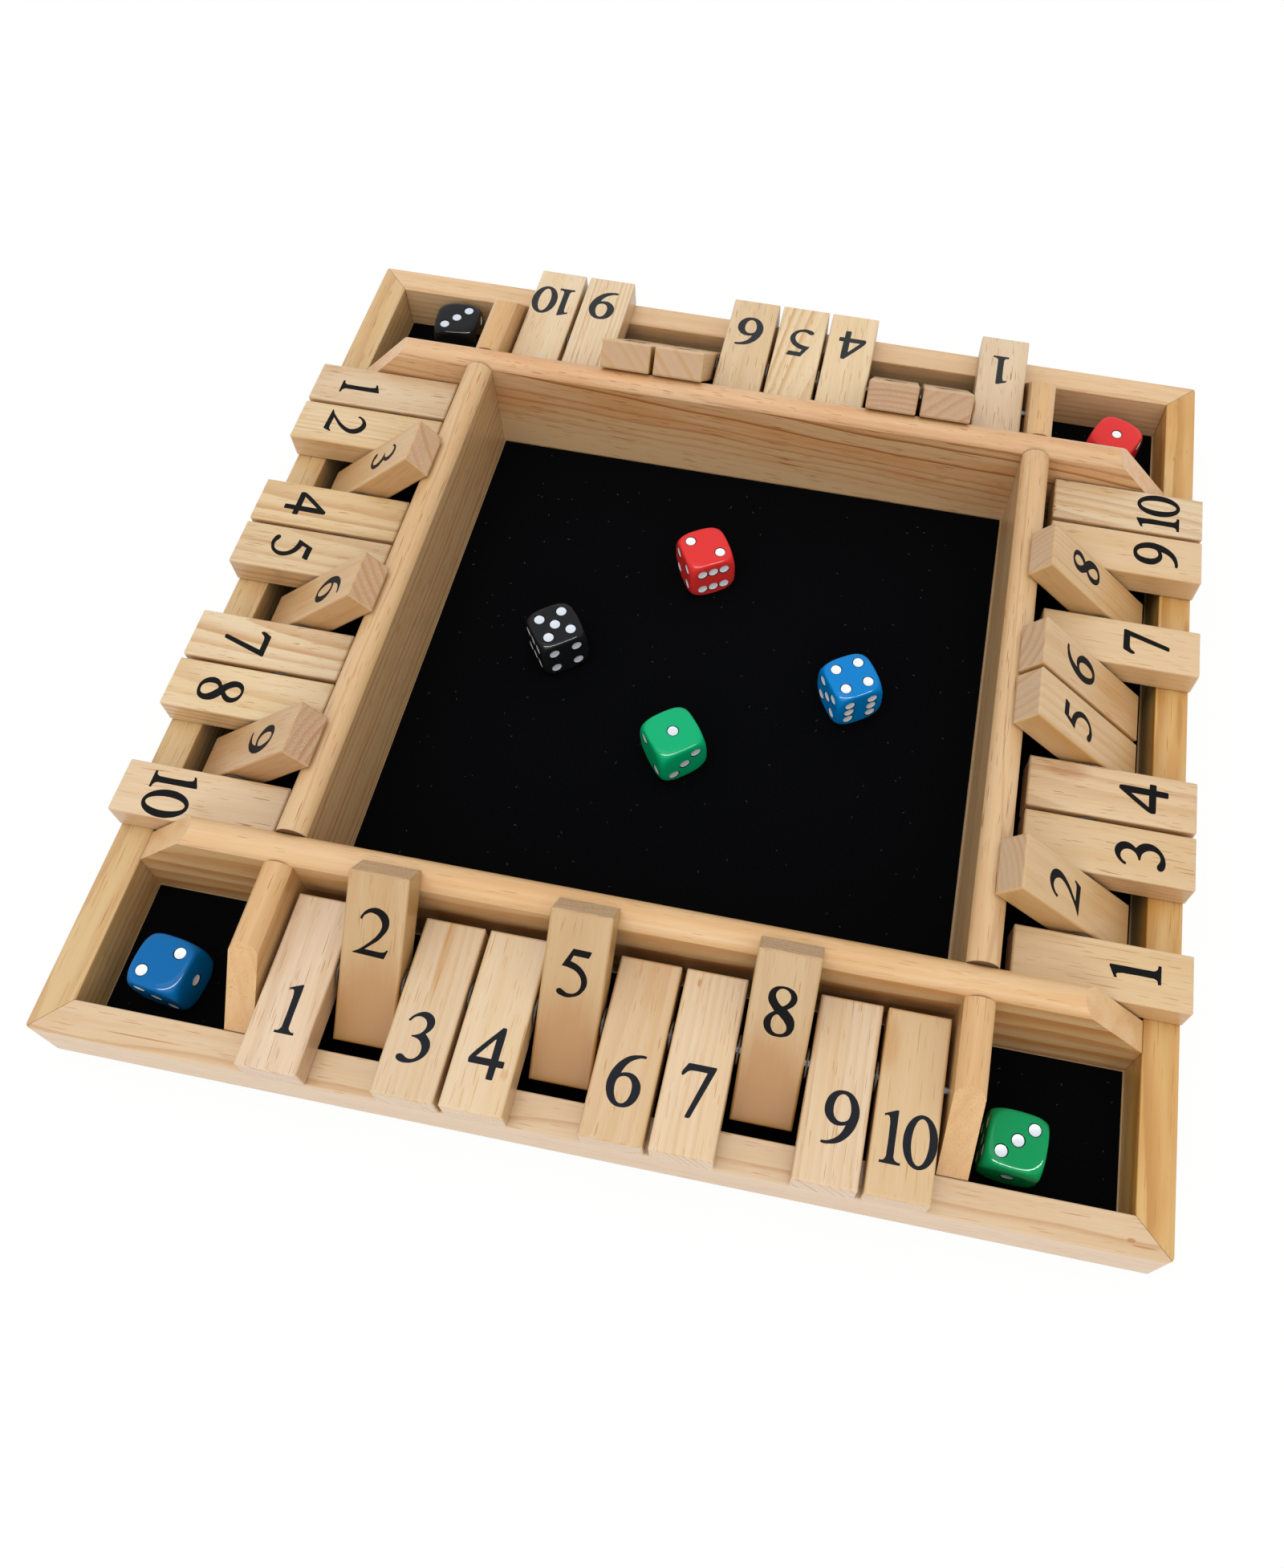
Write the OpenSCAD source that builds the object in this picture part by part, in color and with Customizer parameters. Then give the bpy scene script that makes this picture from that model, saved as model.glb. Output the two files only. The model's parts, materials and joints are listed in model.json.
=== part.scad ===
// Shut the box board for four players. A square arena for throwing dice has a
// tray of ten turning number tiles on each of its sides and a small well for
// spare dice in each corner. Every tile turns right over on a steel rod: laid
// out flat it lies across the rail, turned in it leans on the arena's wall.
// Millimetres. The origin is the centre of the underside, +X right, +Y rear.

/* [Tiles] */
// Number of tiles on each side
tile_count = 10; // [9:1:12]
// Width of one tile, along its rod
tile_w = 16.9; // [14:0.1:20]
// Thickness of one tile
tile_t = 9.5; // [7.5:0.1:11]
// Length from the rod to the plain end
tile_tail = 18; // [15:0.5:22]
// Length of the numbered end beyond the spot that leans on the wall
tile_nose = 4.1; // [2.5:0.1:8]
// Space between two neighbouring tiles
tile_gap = 1.3; // [1:0.1:2.5]
// Rounding of all edges of a tile
tile_round = 0.8; // [0.5:0.1:2]

/* [Inner walls] */
// Thickness of the walls round the arena
wall_t = 9; // [7:0.5:12]
// Height of the walls' crown above the table
wall_h = 40; // [36:0.5:48]
// Height of the rounded crown itself
crown_rise = 3; // [1.5:0.25:3.5]
// How much thinner the dividers are than the walls
divider_less = 0.8; // [0:0.1:2]
// How much lower the dividers are than the walls
divider_drop = 1.7; // [0:0.1:4]
// Height of the dividers' own rounded crown
divider_rise = 2.1; // [1:0.1:2.5]
// Slope of the saw cut at the walls' outer ends, in degrees
end_slope = 45; // [35:1:60]

/* [Outer frame] */
// Width of the outer rails
rail_w = 10; // [8:0.5:16]
// Rounding of the rails' lower and upright outer edges
rail_round = 2; // [0.5:0.25:3]
// Rounding of the rails' top edges
rail_ease = 0.5; // [0.5:0.25:2]
// Width of the rebate under the rails that takes the base
rebate_w = 5; // [3:0.5:6]

/* [Base and felt] */
// Thickness of the base board
base_t = 3; // [2:0.5:6]
// Thickness of the felt
felt_t = 1.2; // [0.8:0.1:2]
// Bare strip between the felt and the wood round it
felt_trim = 0.8; // [0.2:0.1:1.5]

/* [Rods and washers] */
// Diameter of the steel rods
rod_d = 2.5; // [1.6:0.1:4]
// Wood left behind the blind hole at each end of a rod
rod_web = 3; // [1.5:0.5:4]
// Outside diameter of the washers between the tiles
washer_d = 7.9; // [5:0.1:9]
// Thickness of the washers
washer_t = 0.5; // [0.4:0.1:0.8]

/* [Dice] */
// Width of a die across its flat faces
die_w = 16; // [15:0.5:18]
// Rounding of a die's edges
die_round = 0.9; // [0.5:0.1:2]
// Depth that the rounding takes off each corner
die_corner = 2.2; // [1.4:0.1:2.6]
// Diameter of a pip
pip_d = 3.3; // [2.4:0.1:3.4]
// Depth of a pip
pip_depth = 0.45; // [0.2:0.05:0.8]
// Distance of the outer pips from the middle of a face, across and along
pip_pitch = 3.8; // [3.5:0.1:4.2]

/* [Fits] */
// Space round a rod in a tile's bore
bore_play = 0.1; // [0.05:0.01:0.1]
// Space round a rod in its blind holes
seat_play = 0.05; // [0:0.01:0.1]
// Space between a rod and a washer
washer_play = 0.1; // [0.05:0.01:0.2]
// Space under a tile that is laid out and under a die
rest_gap = 0.1; // [0.05:0.05:0.3]
// Space between a tile that is turned in and the wall's crown
lean_gap = 0.15; // [0.05:0.05:0.3]
// Space round the base in its rebate
base_play = 0.1; // [0:0.05:0.5]
// Space between the sweep of a plain end and the arena's wall
tail_wall_room = 3.4; // [1:0.1:8]
// Space between the sweep of a plain end and the rail
tail_rail_room = 1.9; // [1:0.1:6]
// Space between the sweep of a plain end and the felt
tail_felt_room = 1.55; // [0.5:0.05:5]

/* [Hidden] */
$fn = 64;
SIDES = ["front", "right", "rear", "left"];
QUARTER = 90;

// Tiles that are turned in, by number, on the front, right, rear and left side
TURNED_IN = [[2, 5, 8], [2, 5, 6, 8], [2, 3, 7, 8], [3, 6, 9]];

RED = "#C8141C";
BLACK = "#141416";
BLUE = "#1266B4";
GREEN = "#128C4A";

// Dice: name, colour, column and row of the cell (0, 0 is the arena, the others
// are the corner wells), place in the cell from -1 to 1, heading in degrees, and
// for the top, front and right face the number and whether its pattern is turned
DICE = [
    ["die_arena_red", RED, [0, 0], [-0.08, 0.535], 31.7, [2, 1], [6, 1], [3, 0]],
    ["die_arena_black", BLACK, [0, 0], [-0.57, 0.045], 37.6, [5, 0], [4, 0], [1, 1]],
    ["die_arena_blue", BLUE, [0, 0], [0.585, 0.045], 32.7, [4, 0], [6, 0], [2, 0]],
    ["die_arena_green", GREEN, [0, 0], [-0.025, -0.33], 39.1, [1, 0], [3, 0], [5, 0]],
    ["die_well_blue", BLUE, [-1, -1], [-0.2, -0.51], -7, [2, 0], [3, 1], [1, 0]],
    ["die_well_green", GREEN, [1, -1], [-0.725, -0.655], -4.9, [3, 0], [1, 0], [2, 0]],
    ["die_well_red", RED, [1, 1], [0.305, 0.18], -25, [1, 0], [5, 0], [4, 0]],
    ["die_well_black", BLACK, [-1, 1], [0.2, 0.755], 5.5, [3, 0], [1, 0], [2, 0]]
];
OPPOSITE_SUM = 7;

PINE = "#E3C08A";
PALE_PINE = "#E8CFA6";
PLYWOOD = "#CDAF7F";
FELT_BLACK = "#1C1D1E";
STEEL = "#B9BDC0";
NYLON = "#E6E2D8";

// Rows of tiles and the arena between them
tile_pitch = tile_w + tile_gap;
arena_w = tile_count * tile_pitch;
wall_out = arena_w / 2 + wall_t;

// Rod: its place leaves the plain end of a tile room to swing through the tray
tail_sweep = norm([tile_tail, tile_t / 2]);
rod_at = wall_out + tail_wall_room + tail_sweep;
felt_top = base_t + felt_t;
rod_z = felt_top + tail_felt_room + tail_sweep;
rod_seat = wall_t - rod_web;
rod_len = arena_w + 2 * rod_seat;

// Tray between the arena's wall and the rail, and the whole board
tray_w = tail_wall_room + 2 * tail_sweep + tail_rail_room;
rail_in = wall_out + tray_w;
rail_h = rod_z - tile_t / 2 - rest_gap;
board_w = 2 * (rail_in + rail_w);
base_w = board_w - 2 * rail_w + 2 * (rebate_w - base_play);
well_at = wall_out + tray_w / 2;

// Radius of a rounded crown across the top of a board
function crown_radius(thick, rise) = (pow(thick / 2, 2) + pow(rise, 2)) / (2 * rise);

// Dividers
divider_t = wall_t - divider_less;
divider_h = wall_h - divider_drop;

// A tile that is turned in touches the crown, an arc across the wall's top
crown_r = crown_radius(wall_t, crown_rise);
crown_z = wall_h - crown_r;
lean_run = rod_at - arena_w / 2 - wall_t / 2;
lean_rise = crown_z - rod_z;
lean_reach = norm([lean_run, lean_rise]);
lean_off = tile_t / 2 + crown_r + lean_gap;
lean_angle = atan2(lean_rise, lean_run) + asin(lean_off / lean_reach);
tile_turn = 180 - lean_angle;
tile_reach = sqrt(pow(lean_reach, 2) - pow(lean_off, 2)) + tile_nose;
tile_len = tile_reach + tile_tail;

// Dice
die_ball_r = die_w * sqrt(3) / 2 - die_corner;
pip_ball_r = (pow(pip_d / 2, 2) + pow(pip_depth, 2)) / (2 * pip_depth);

// Cutting tools reach this far past the piece they cut
over = 1;

// Rectangle with rounded corners, centred
module rounded_rect(size, r) {
    square([size.x - 2 * r, size.y], center = true);
    square([size.x, size.y - 2 * r], center = true);
    for (sx = [-1, 1], sy = [-1, 1])
        translate([sx * (size.x / 2 - r), sy * (size.y / 2 - r)]) circle(r);
}

// Block whose twelve edges are all rounded, centred
module rounded_block(size, r) {
    intersection() {
        linear_extrude(size.z, center = true) rounded_rect([size.x, size.y], r);
        rotate([90, 0, 0])
            linear_extrude(size.y, center = true) rounded_rect([size.x, size.z], r);
        rotate([90, 0, 90])
            linear_extrude(size.x, center = true) rounded_rect([size.y, size.z], r);
    }
}

// Extrudes a profile, drawn across Y and up Z, along X
module along_x(length) {
    rotate([90, 0, 90]) linear_extrude(length, center = true) children();
}

// Waste that a rounded edge takes off a square corner at the origin
module edge_waste(r) {
    difference() {
        translate([-over, -over]) square(r + over);
        translate([r, r]) circle(r);
    }
}

// ---- Outer frame ----

module rail_profile() {
    difference() {
        translate([-board_w / 2, 0]) square([rail_w, rail_h]);
        translate([-board_w / 2, 0]) edge_waste(rail_round);
        translate([-board_w / 2, rail_h]) mirror([0, 1]) edge_waste(rail_ease);
        translate([-rail_in, rail_h]) rotate(180) edge_waste(rail_ease);
        translate([-rail_in - rebate_w, -over]) square([rebate_w + over, base_t + over]);
    }
}

// One rail, mitred at both ends where it meets its neighbours
module rail(side) {
    color(PINE) rotate(side * QUARTER) intersection() {
        along_x(board_w) rail_profile();
        linear_extrude(rail_h)
            polygon([[0, 0], [-board_w / 2, -board_w / 2], [board_w / 2, -board_w / 2]]);
        linear_extrude(rail_h) rounded_rect([board_w, board_w], rail_round);
    }
}

module base_board() {
    color(PLYWOOD) translate([0, 0, base_t / 2]) cube([base_w, base_w, base_t], center = true);
}

// ---- Inner walls ----

module crowned_profile(thick, height, rise) {
    radius = crown_radius(thick, rise);
    translate([-thick / 2, base_t]) square([thick, height - rise - base_t]);
    intersection() {
        translate([0, height - radius]) circle(radius);
        translate([-thick / 2, base_t]) square([thick, height - base_t]);
    }
}

module wall_profile() {
    crowned_profile(wall_t, wall_h, crown_rise);
}

// Waste over a wall's outer end at x = length, where a sloping saw cut brings
// the wall down to the height of the rail that it meets
module end_waste(length) {
    cut_height = wall_h - rail_h + over;
    rotate([90, 0, 0]) linear_extrude(wall_t + 2 * over, center = true) polygon([
        [length, rail_h],
        [length + over, rail_h],
        [length + over, wall_h + over],
        [length - cut_height / tan(end_slope), wall_h + over]
    ]);
}

// Blind holes for the ends of one rod that lies along X
module rod_holes() {
    translate([0, 0, rod_z]) rotate([0, 90, 0])
        cylinder(h = rod_len, d = rod_d + 2 * seat_play, center = true);
}

// Long wall, from rail to rail, with the ends of the left and right rods in it
module long_wall(facing) {
    color(PINE) difference() {
        translate([0, facing * (wall_out - wall_t / 2), 0]) difference() {
            along_x(2 * rail_in) wall_profile();
            end_waste(rail_in);
            mirror([1, 0, 0]) end_waste(rail_in);
        }
        for (side = [-1, 1]) translate([side * rod_at, 0, 0]) rotate(QUARTER) rod_holes();
    }
}

// Short walls, between the two long ones
module short_walls() {
    color(PINE) for (side = [-1, 1])
        translate([side * (wall_out - wall_t / 2), 0, 0])
            rotate(QUARTER) along_x(arena_w) wall_profile();
}

// Dividers between the tile trays and the corner wells, flush with the short
// walls on the wells' side
module dividers() {
    color(PINE) for (facing = [-1, 1]) difference() {
        for (side = [-1, 1])
            translate([side * (wall_out - divider_t / 2), facing * wall_out, 0])
                rotate(facing * QUARTER) difference() {
                    translate([tray_w / 2, 0, 0]) along_x(tray_w)
                        crowned_profile(divider_t, divider_h, divider_rise);
                    end_waste(tray_w);
                }
        translate([0, facing * rod_at, 0]) rod_holes();
    }
}

// ---- Felt ----

// Felt for one cell, given by the centre and the size of the cell
module felt_piece(centre, size) {
    translate([centre.x, centre.y, base_t])
        linear_extrude(felt_t) square([size.x - 2 * felt_trim, size.y - 2 * felt_trim], center = true);
}

module felt() {
    color(FELT_BLACK) {
        felt_piece([0, 0], [arena_w, arena_w]);
        for (s = [-1, 1]) {
            felt_piece([s * well_at, 0], [tray_w, arena_w]);
            felt_piece([0, s * well_at], [arena_w, tray_w]);
            for (t = [-1, 1]) felt_piece([s * well_at, t * well_at], [tray_w, tray_w]);
        }
    }
}

// ---- Rods and washers ----

// Places its children on the axis of the front rod, turned to the given side
module on_rod(side) {
    rotate(side * QUARTER) translate([0, -rod_at, rod_z]) children();
}

module rods() {
    color(STEEL) for (side = [0:3])
        on_rod(side) rotate([0, 90, 0]) cylinder(h = rod_len, d = rod_d, center = true);
}

module washer() {
    rotate([0, 90, 0]) difference() {
        cylinder(h = washer_t, d = washer_d, center = true);
        cylinder(h = washer_t + 2 * over, d = rod_d + 2 * washer_play, center = true);
    }
}

module washers() {
    color(NYLON) for (side = [0:3], gap = [1:tile_count - 1])
        on_rod(side) translate([gap * tile_pitch - arena_w / 2, 0, 0]) washer();
}

// ---- Tiles ----

function is_turned_in(side, number) = len(search(number, TURNED_IN[side])) > 0;

// A laid-out tile about its rod: the numbered end points away from the arena
module tile_blank() {
    difference() {
        translate([0, (tile_tail - tile_reach) / 2, 0])
            rounded_block([tile_w, tile_len, tile_t], tile_round);
        rotate([0, 90, 0])
            cylinder(h = tile_w + 2 * over, d = rod_d + 2 * bore_play, center = true);
    }
}

module tile(side, number) {
    turn = is_turned_in(side, number) ? tile_turn : 0;
    color(PALE_PINE) on_rod(side)
        translate([(number - (tile_count + 1) / 2) * tile_pitch, 0, 0])
            rotate([-turn, 0, 0]) tile_blank();
}

// ---- Dice ----

function diagonal(turned) = turned == 1
    ? [[-1, 1], [1, -1]]
    : [[-1, -1], [1, 1]];

function side_middles(turned) = turned == 1
    ? [[0, -1], [0, 1]]
    : [[-1, 0], [1, 0]];

// Pip places for a number: the middle on odd ones, then one or both diagonals
function pip_places(value, turned) = concat(
    value % 2 == 1 ? [[0, 0]] : [],
    value > 1 ? diagonal(turned) : [],
    value > 3 ? diagonal(1 - turned) : [],
    value == 6 ? side_middles(turned) : []
);

// Dimples of one face on the die's top
module face_pips(value, turned) {
    for (place = pip_places(value, turned))
        translate([place.x * pip_pitch, place.y * pip_pitch, die_w / 2 + pip_ball_r - pip_depth])
            sphere(pip_ball_r);
}

// Dimples of a face and of the face opposite
module face_pair(face) {
    face_pips(face[0], face[1]);
    mirror([0, 0, 1]) face_pips(OPPOSITE_SUM - face[0], face[1]);
}

module die_blank(top, front, right) {
    difference() {
        intersection() {
            rounded_block([die_w, die_w, die_w], die_round);
            sphere(die_ball_r);
        }
        face_pair(top);
        rotate([90, 0, 0]) face_pair(front);
        rotate([90, 0, 90]) face_pair(right);
    }
}

module die(spec) {
    cell = spec[2];
    room = ((cell.x == 0 ? arena_w : tray_w) - die_w) / 2;
    centre = cell * well_at + spec[3] * room;
    color(spec[1]) translate([centre.x, centre.y, felt_top + rest_gap + die_w / 2])
        rotate(spec[4]) die_blank(spec[5], spec[6], spec[7]);
}

// ---- Nodes ----

for (side = [0:3])
    rail(side);
long_wall(-1);  // long_wall_front
long_wall(1);  // long_wall_rear
short_walls();
dividers();
base_board();
felt();
rods();
washers();
for (side = [0:3], number = [1:tile_count])
    tile(side, number);
for (die = DICE)
    die(die);
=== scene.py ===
# %% [markdown]
# # A four-player shut the box board
# The board is a shallow pine tray. Four rows of ten number tiles turn over on
# steel rods round a felt arena, and eight dice lie on the felt. The measured
# model is loaded first as a fixed frame, and every finish is put on that frame.

# %% Load the measured frame
import json
import math
import random

import bmesh
import bpy
from mathutils import Matrix, Vector

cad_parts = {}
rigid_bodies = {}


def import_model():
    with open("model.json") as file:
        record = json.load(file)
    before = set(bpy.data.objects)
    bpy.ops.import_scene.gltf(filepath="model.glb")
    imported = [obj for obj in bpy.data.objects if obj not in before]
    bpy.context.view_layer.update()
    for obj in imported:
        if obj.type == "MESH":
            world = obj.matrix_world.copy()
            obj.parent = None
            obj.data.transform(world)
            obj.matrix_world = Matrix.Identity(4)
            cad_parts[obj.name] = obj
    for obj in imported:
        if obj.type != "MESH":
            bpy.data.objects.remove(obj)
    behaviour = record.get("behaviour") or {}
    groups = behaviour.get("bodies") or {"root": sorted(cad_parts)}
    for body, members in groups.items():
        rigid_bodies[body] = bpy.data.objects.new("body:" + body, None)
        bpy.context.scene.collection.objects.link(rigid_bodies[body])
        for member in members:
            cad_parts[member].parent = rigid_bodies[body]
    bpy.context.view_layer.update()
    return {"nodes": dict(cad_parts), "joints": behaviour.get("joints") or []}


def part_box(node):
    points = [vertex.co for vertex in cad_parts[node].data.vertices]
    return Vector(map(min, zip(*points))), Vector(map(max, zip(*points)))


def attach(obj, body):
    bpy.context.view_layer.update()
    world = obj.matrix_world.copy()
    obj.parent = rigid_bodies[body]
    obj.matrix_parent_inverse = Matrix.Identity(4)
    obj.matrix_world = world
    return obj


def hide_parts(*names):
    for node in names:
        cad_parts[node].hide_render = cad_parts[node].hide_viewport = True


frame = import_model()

MM = 0.001
NODES = frame["nodes"]
print("pieces in the frame:", len(NODES))

# %% [markdown]
# Colours are written as sRGB hex, as a paint chart gives them. Blender mixes
# light in linear values, so one function turns every hex colour into those.
# Nodes are added by one small function too: it takes the node's settings by
# name, and a dictionary of inputs that are values or other nodes' outputs.

# %% Colour and node helpers
def linear(hex_colour):
    channels = [int(hex_colour[i:i + 2], 16) / 255 for i in (1, 3, 5)]
    return [c / 12.92 if c <= 0.04045 else ((c + 0.055) / 1.055) ** 2.4 for c in channels] + [1]


def add(tree, kind, inputs=None, **settings):
    node = tree.nodes.new("ShaderNode" + kind)
    for key, value in settings.items():
        setattr(node, key, value)
    for key, value in (inputs or {}).items():
        if isinstance(value, bpy.types.NodeSocket):
            tree.links.new(value, node.inputs[key])
        else:
            node.inputs[key].default_value = value
    return node


def new_material(name):
    material = bpy.data.materials.new(name)
    material.use_nodes = True
    material.node_tree.nodes.clear()
    return material, material.node_tree


def finish_with(tree, shader):
    add(tree, "OutputMaterial", {"Surface": shader})


print("pale pine in linear values:", [round(c, 3) for c in linear("#E8CFA6")])

# %% [markdown]
# The board is seen from the near side, a little right of its middle, from a
# steep angle above. The lens is a moderate wide one, and a small shift sets the
# board high and left of the picture's centre.

# %% Camera
CAMERA_PLACE = Vector((47.1, -224.0, 357.9)) * MM
CAMERA_TURN = [math.radians(a) for a in (29.42, -0.86, 11.2)]
camera_data = bpy.data.cameras.new("camera")
camera_data.lens = 29.67
camera_data.shift_x = -0.0513
camera_data.shift_y = -0.0118
camera = bpy.data.objects.new("camera", camera_data)
camera.location = CAMERA_PLACE
camera.rotation_euler = CAMERA_TURN
bpy.context.scene.collection.objects.link(camera)
bpy.context.scene.camera = camera
print("camera height above the table, mm:", round(CAMERA_PLACE.z / MM))

# %% [markdown]
# A white studio sweep gives light from all round. Its strength is set so that
# a surface that faces up shows its own colour. The camera, and anything glossy
# or clear, sees the sweep as plain white.

# %% World
scene = bpy.context.scene
scene.view_settings.view_transform = "Standard"
AMBIENT = 0.97


def seen_directly(tree):
    path = add(tree, "LightPath")
    seen = add(tree, "Math", {0: path.outputs["Is Camera Ray"],
                              1: path.outputs["Is Glossy Ray"]}, operation="MAXIMUM")
    return add(tree, "Math", {0: seen.outputs[0],
                              1: path.outputs["Is Transmission Ray"]}, operation="MAXIMUM")


world = bpy.data.worlds.new("white_sweep")
world.use_nodes = True
world.node_tree.nodes.clear()
scene.world = world
sweep_strength = add(world.node_tree, "MapRange",
                     {"Value": seen_directly(world.node_tree).outputs[0],
                      "To Min": AMBIENT, "To Max": 1.0})
sweep = add(world.node_tree, "Background",
            {"Color": (1, 1, 1, 1), "Strength": sweep_strength.outputs[0]})
add(world.node_tree, "OutputWorld", {"Surface": sweep.outputs[0]})
print("ambient strength:", AMBIENT)

# %% [markdown]
# Two soft boxes shape the board. The large one overhead is as wide as a table,
# so the trays under the tiles darken softly and nothing throws a hard edge. The
# one in front is weak and brightens whatever faces the player. A long card of
# light hangs high at the front for the dice alone: light linking keeps it off
# everything else, and it adds no diffuse light. A round, polished edge shows it
# as a thin bright line, which is what makes acrylic look wet.

# %% Lamps
def soft_box(name, place, size, watts):
    """A rectangular lamp, placed and sized in metres, that looks at the board's middle."""
    data = bpy.data.lights.new(name, "AREA")
    data.shape = "RECTANGLE"
    data.size, data.size_y = size
    data.energy = watts
    lamp = bpy.data.objects.new(name, data)
    lamp.location = place
    lamp.rotation_euler = (-Vector(place)).to_track_quat("-Z", "Y").to_euler()
    scene.collection.objects.link(lamp)
    return lamp


soft_box("overhead_box", (-0.2, -0.1, 1.7), (1.0, 1.1), 6.0)
soft_box("front_box", (0.1, -1.7, 1.1), (1.8, 0.7), 8.0)
card = soft_box("gloss_card", (0.27, -0.58, 1.58), (2.6, 0.3), 130.0)
card.visible_diffuse = False
polished = bpy.data.collections.new("polished_dice")
card.light_linking.receiver_collection = polished

# %% [markdown]
# The table is a plain white sheet. Most of what the camera sees of it is white
# whatever the light does, and the rest takes the board's soft shadow.

# %% Table sheet
SHEET_SIZE = 6.0
SHEET_DROP = 0.05 * MM
PLAIN_WHITE = 0.93     # share of the sheet's look that no shadow reaches
sheet_material, tree = new_material("white_paper_sheet")
shaded = add(tree, "BsdfDiffuse", {"Color": linear("#F4F4F4")})
plain = add(tree, "Emission", {"Color": (1, 1, 1, 1), "Strength": 1.0})
share = add(tree, "Math", {0: seen_directly(tree).outputs[0], 1: PLAIN_WHITE},
            operation="MULTIPLY")
finish_with(tree, add(tree, "MixShader", {"Fac": share.outputs[0], 1: shaded.outputs[0],
                                          2: plain.outputs[0]}).outputs[0])
sheet_mesh = bpy.data.meshes.new("table_sheet")
half = SHEET_SIZE / 2
corners = [(-half, -half, 0), (half, -half, 0), (half, half, 0), (-half, half, 0)]
sheet_mesh.from_pydata(corners, [], [(0, 1, 2, 3)])
sheet = bpy.data.objects.new("table_sheet", sheet_mesh)
sheet.location.z = -SHEET_DROP
sheet_mesh.materials.append(sheet_material)
scene.collection.objects.link(sheet)
print("table sheet is", SHEET_SIZE, "m wide")

# %% [markdown]
# ## Pine
# Rails, walls and tiles are pine, planed, sanded and sprayed with a thin clear
# lacquer. Pine grows a pale soft band and a thin darker band each year. A board
# is a slice through that tree, so the pattern is worked out in the round: the
# distance from the pith gives the year, and every face of a piece, also its
# sawn ends, then shows the same wood. A face that lies along the rings shows a
# few broad bands, and a face or an end that cuts across them shows fine lines.

# %% Grain coordinates and small sums
def timber_coordinates(tree, origin, along, across):
    """Millimetres along the grain, across the board and through its thickness."""
    place = add(tree, "TexCoord")
    local = add(tree, "VectorMath", {0: place.outputs["Object"], 1: origin}, operation="SUBTRACT")
    axes = (along, across, along.cross(across))
    parts = [add(tree, "VectorMath", {0: local.outputs[0], 1: axis / MM},
                 operation="DOT_PRODUCT").outputs["Value"] for axis in axes]
    grain = add(tree, "CombineXYZ", dict(zip("XYZ", parts)))
    return grain.outputs[0], place.outputs["Normal"]


def stretched_noise(tree, grain, along_mm, across_mm, shift, detail=2.0):
    """Noise whose spots are along_mm long and across_mm wide."""
    scale = (1 / along_mm, 1 / across_mm, 1 / across_mm)
    place = add(tree, "VectorMath", {0: grain, 1: scale, 2: shift}, operation="MULTIPLY_ADD")
    return add(tree, "TexNoise", {"Vector": place.outputs[0], "Scale": 1.0,
                                  "Detail": detail}).outputs["Fac"]


def between(tree, value, low, high, to_low=0.0, to_high=1.0):
    """A soft step from to_low to to_high while the value goes from low to high."""
    return add(tree, "MapRange", {"Value": value, "From Min": low, "From Max": high,
                                  "To Min": to_low, "To Max": to_high},
               interpolation_type="SMOOTHSTEP").outputs[0]


def sums(tree, operation, a, b):
    return add(tree, "Math", {0: a, 1: b}, operation=operation).outputs[0]


def size_of(tree, value):
    """The value without its sign."""
    return add(tree, "Math", {0: value}, operation="ABSOLUTE").outputs[0]


def facing(tree, normal, axis):
    """How squarely a face looks along an axis: 1 towards it, 0 sideways, -1 away from it."""
    return add(tree, "VectorMath", {0: normal, 1: axis}, operation="DOT_PRODUCT").outputs["Value"]


def blended(tree, share, first, second):
    """From the first colour to the second; each is a hex value or another node's output."""
    colours = [c if isinstance(c, bpy.types.NodeSocket) else linear(c) for c in (first, second)]
    return add(tree, "Mix", {"Factor": share, "A": colours[0], "B": colours[1]},
               data_type="RGBA").outputs["Result"]


print("one step in the grain's coordinates, in metres:", MM)

# %% [markdown]
# A ring darkens slowly through the summer and stops at once in winter, so each
# band is soft on one side and sharp on the other. No two years are equally
# dark. A board from near the middle of the tree shows its rings only in the
# heartwood, which has an inner and an outer limit.

# %% Yearly rings
RING_SWAY = (90.0, 30.0)   # mm, how slowly a ring wanders along and across the tree
WINTER = (0.93, 1.0)       # the part of a year in which a band breaks off
FAINTEST_YEAR = 0.1


def yearly_bands(tree, grain, pith, ring_mm, sway_mm, summer, heart, shift):
    """0 in pale spring wood, up to 1 in the darker autumn wood; and the share of heartwood."""
    sway = stretched_noise(tree, grain, *RING_SWAY, shift)
    from_pith = add(tree, "VectorMath", {0: grain, 1: (0, 1, 1), 2: (0, -pith[0], -pith[1])},
                    operation="MULTIPLY_ADD")
    radius = add(tree, "VectorMath", {0: from_pith.outputs[0]}, operation="LENGTH").outputs["Value"]
    # the noise keeps to the middle half of its range, so this sways a ring by sway_mm each way
    wandering = sums(tree, "ADD", radius, sums(tree, "MULTIPLY", sway, 4 * sway_mm))
    year = sums(tree, "DIVIDE", wandering, ring_mm)
    season = add(tree, "Math", {0: year}, operation="FRACT").outputs[0]
    darkening = between(tree, season, *summer)
    winter = between(tree, season, *WINTER, 1.0, 0.0)
    number = add(tree, "Math", {0: year}, operation="FLOOR").outputs[0]
    strength = add(tree, "TexWhiteNoise", {"W": number}, noise_dimensions="1D").outputs["Value"]
    varied = add(tree, "MapRange", {"Value": strength, "To Min": FAINTEST_YEAR}).outputs[0]
    bands = sums(tree, "MULTIPLY", sums(tree, "MULTIPLY", darkening, winter), varied)
    if not heart:
        return bands, None
    core = between(tree, wandering, *heart[1], 1.0, 0.0)
    quiet = between(tree, wandering, *heart[0], 0.0, 1.0)
    return sums(tree, "MULTIPLY", sums(tree, "MULTIPLY", bands, core), quiet), core


print("a ring wanders over", RING_SWAY, "mm")

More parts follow.
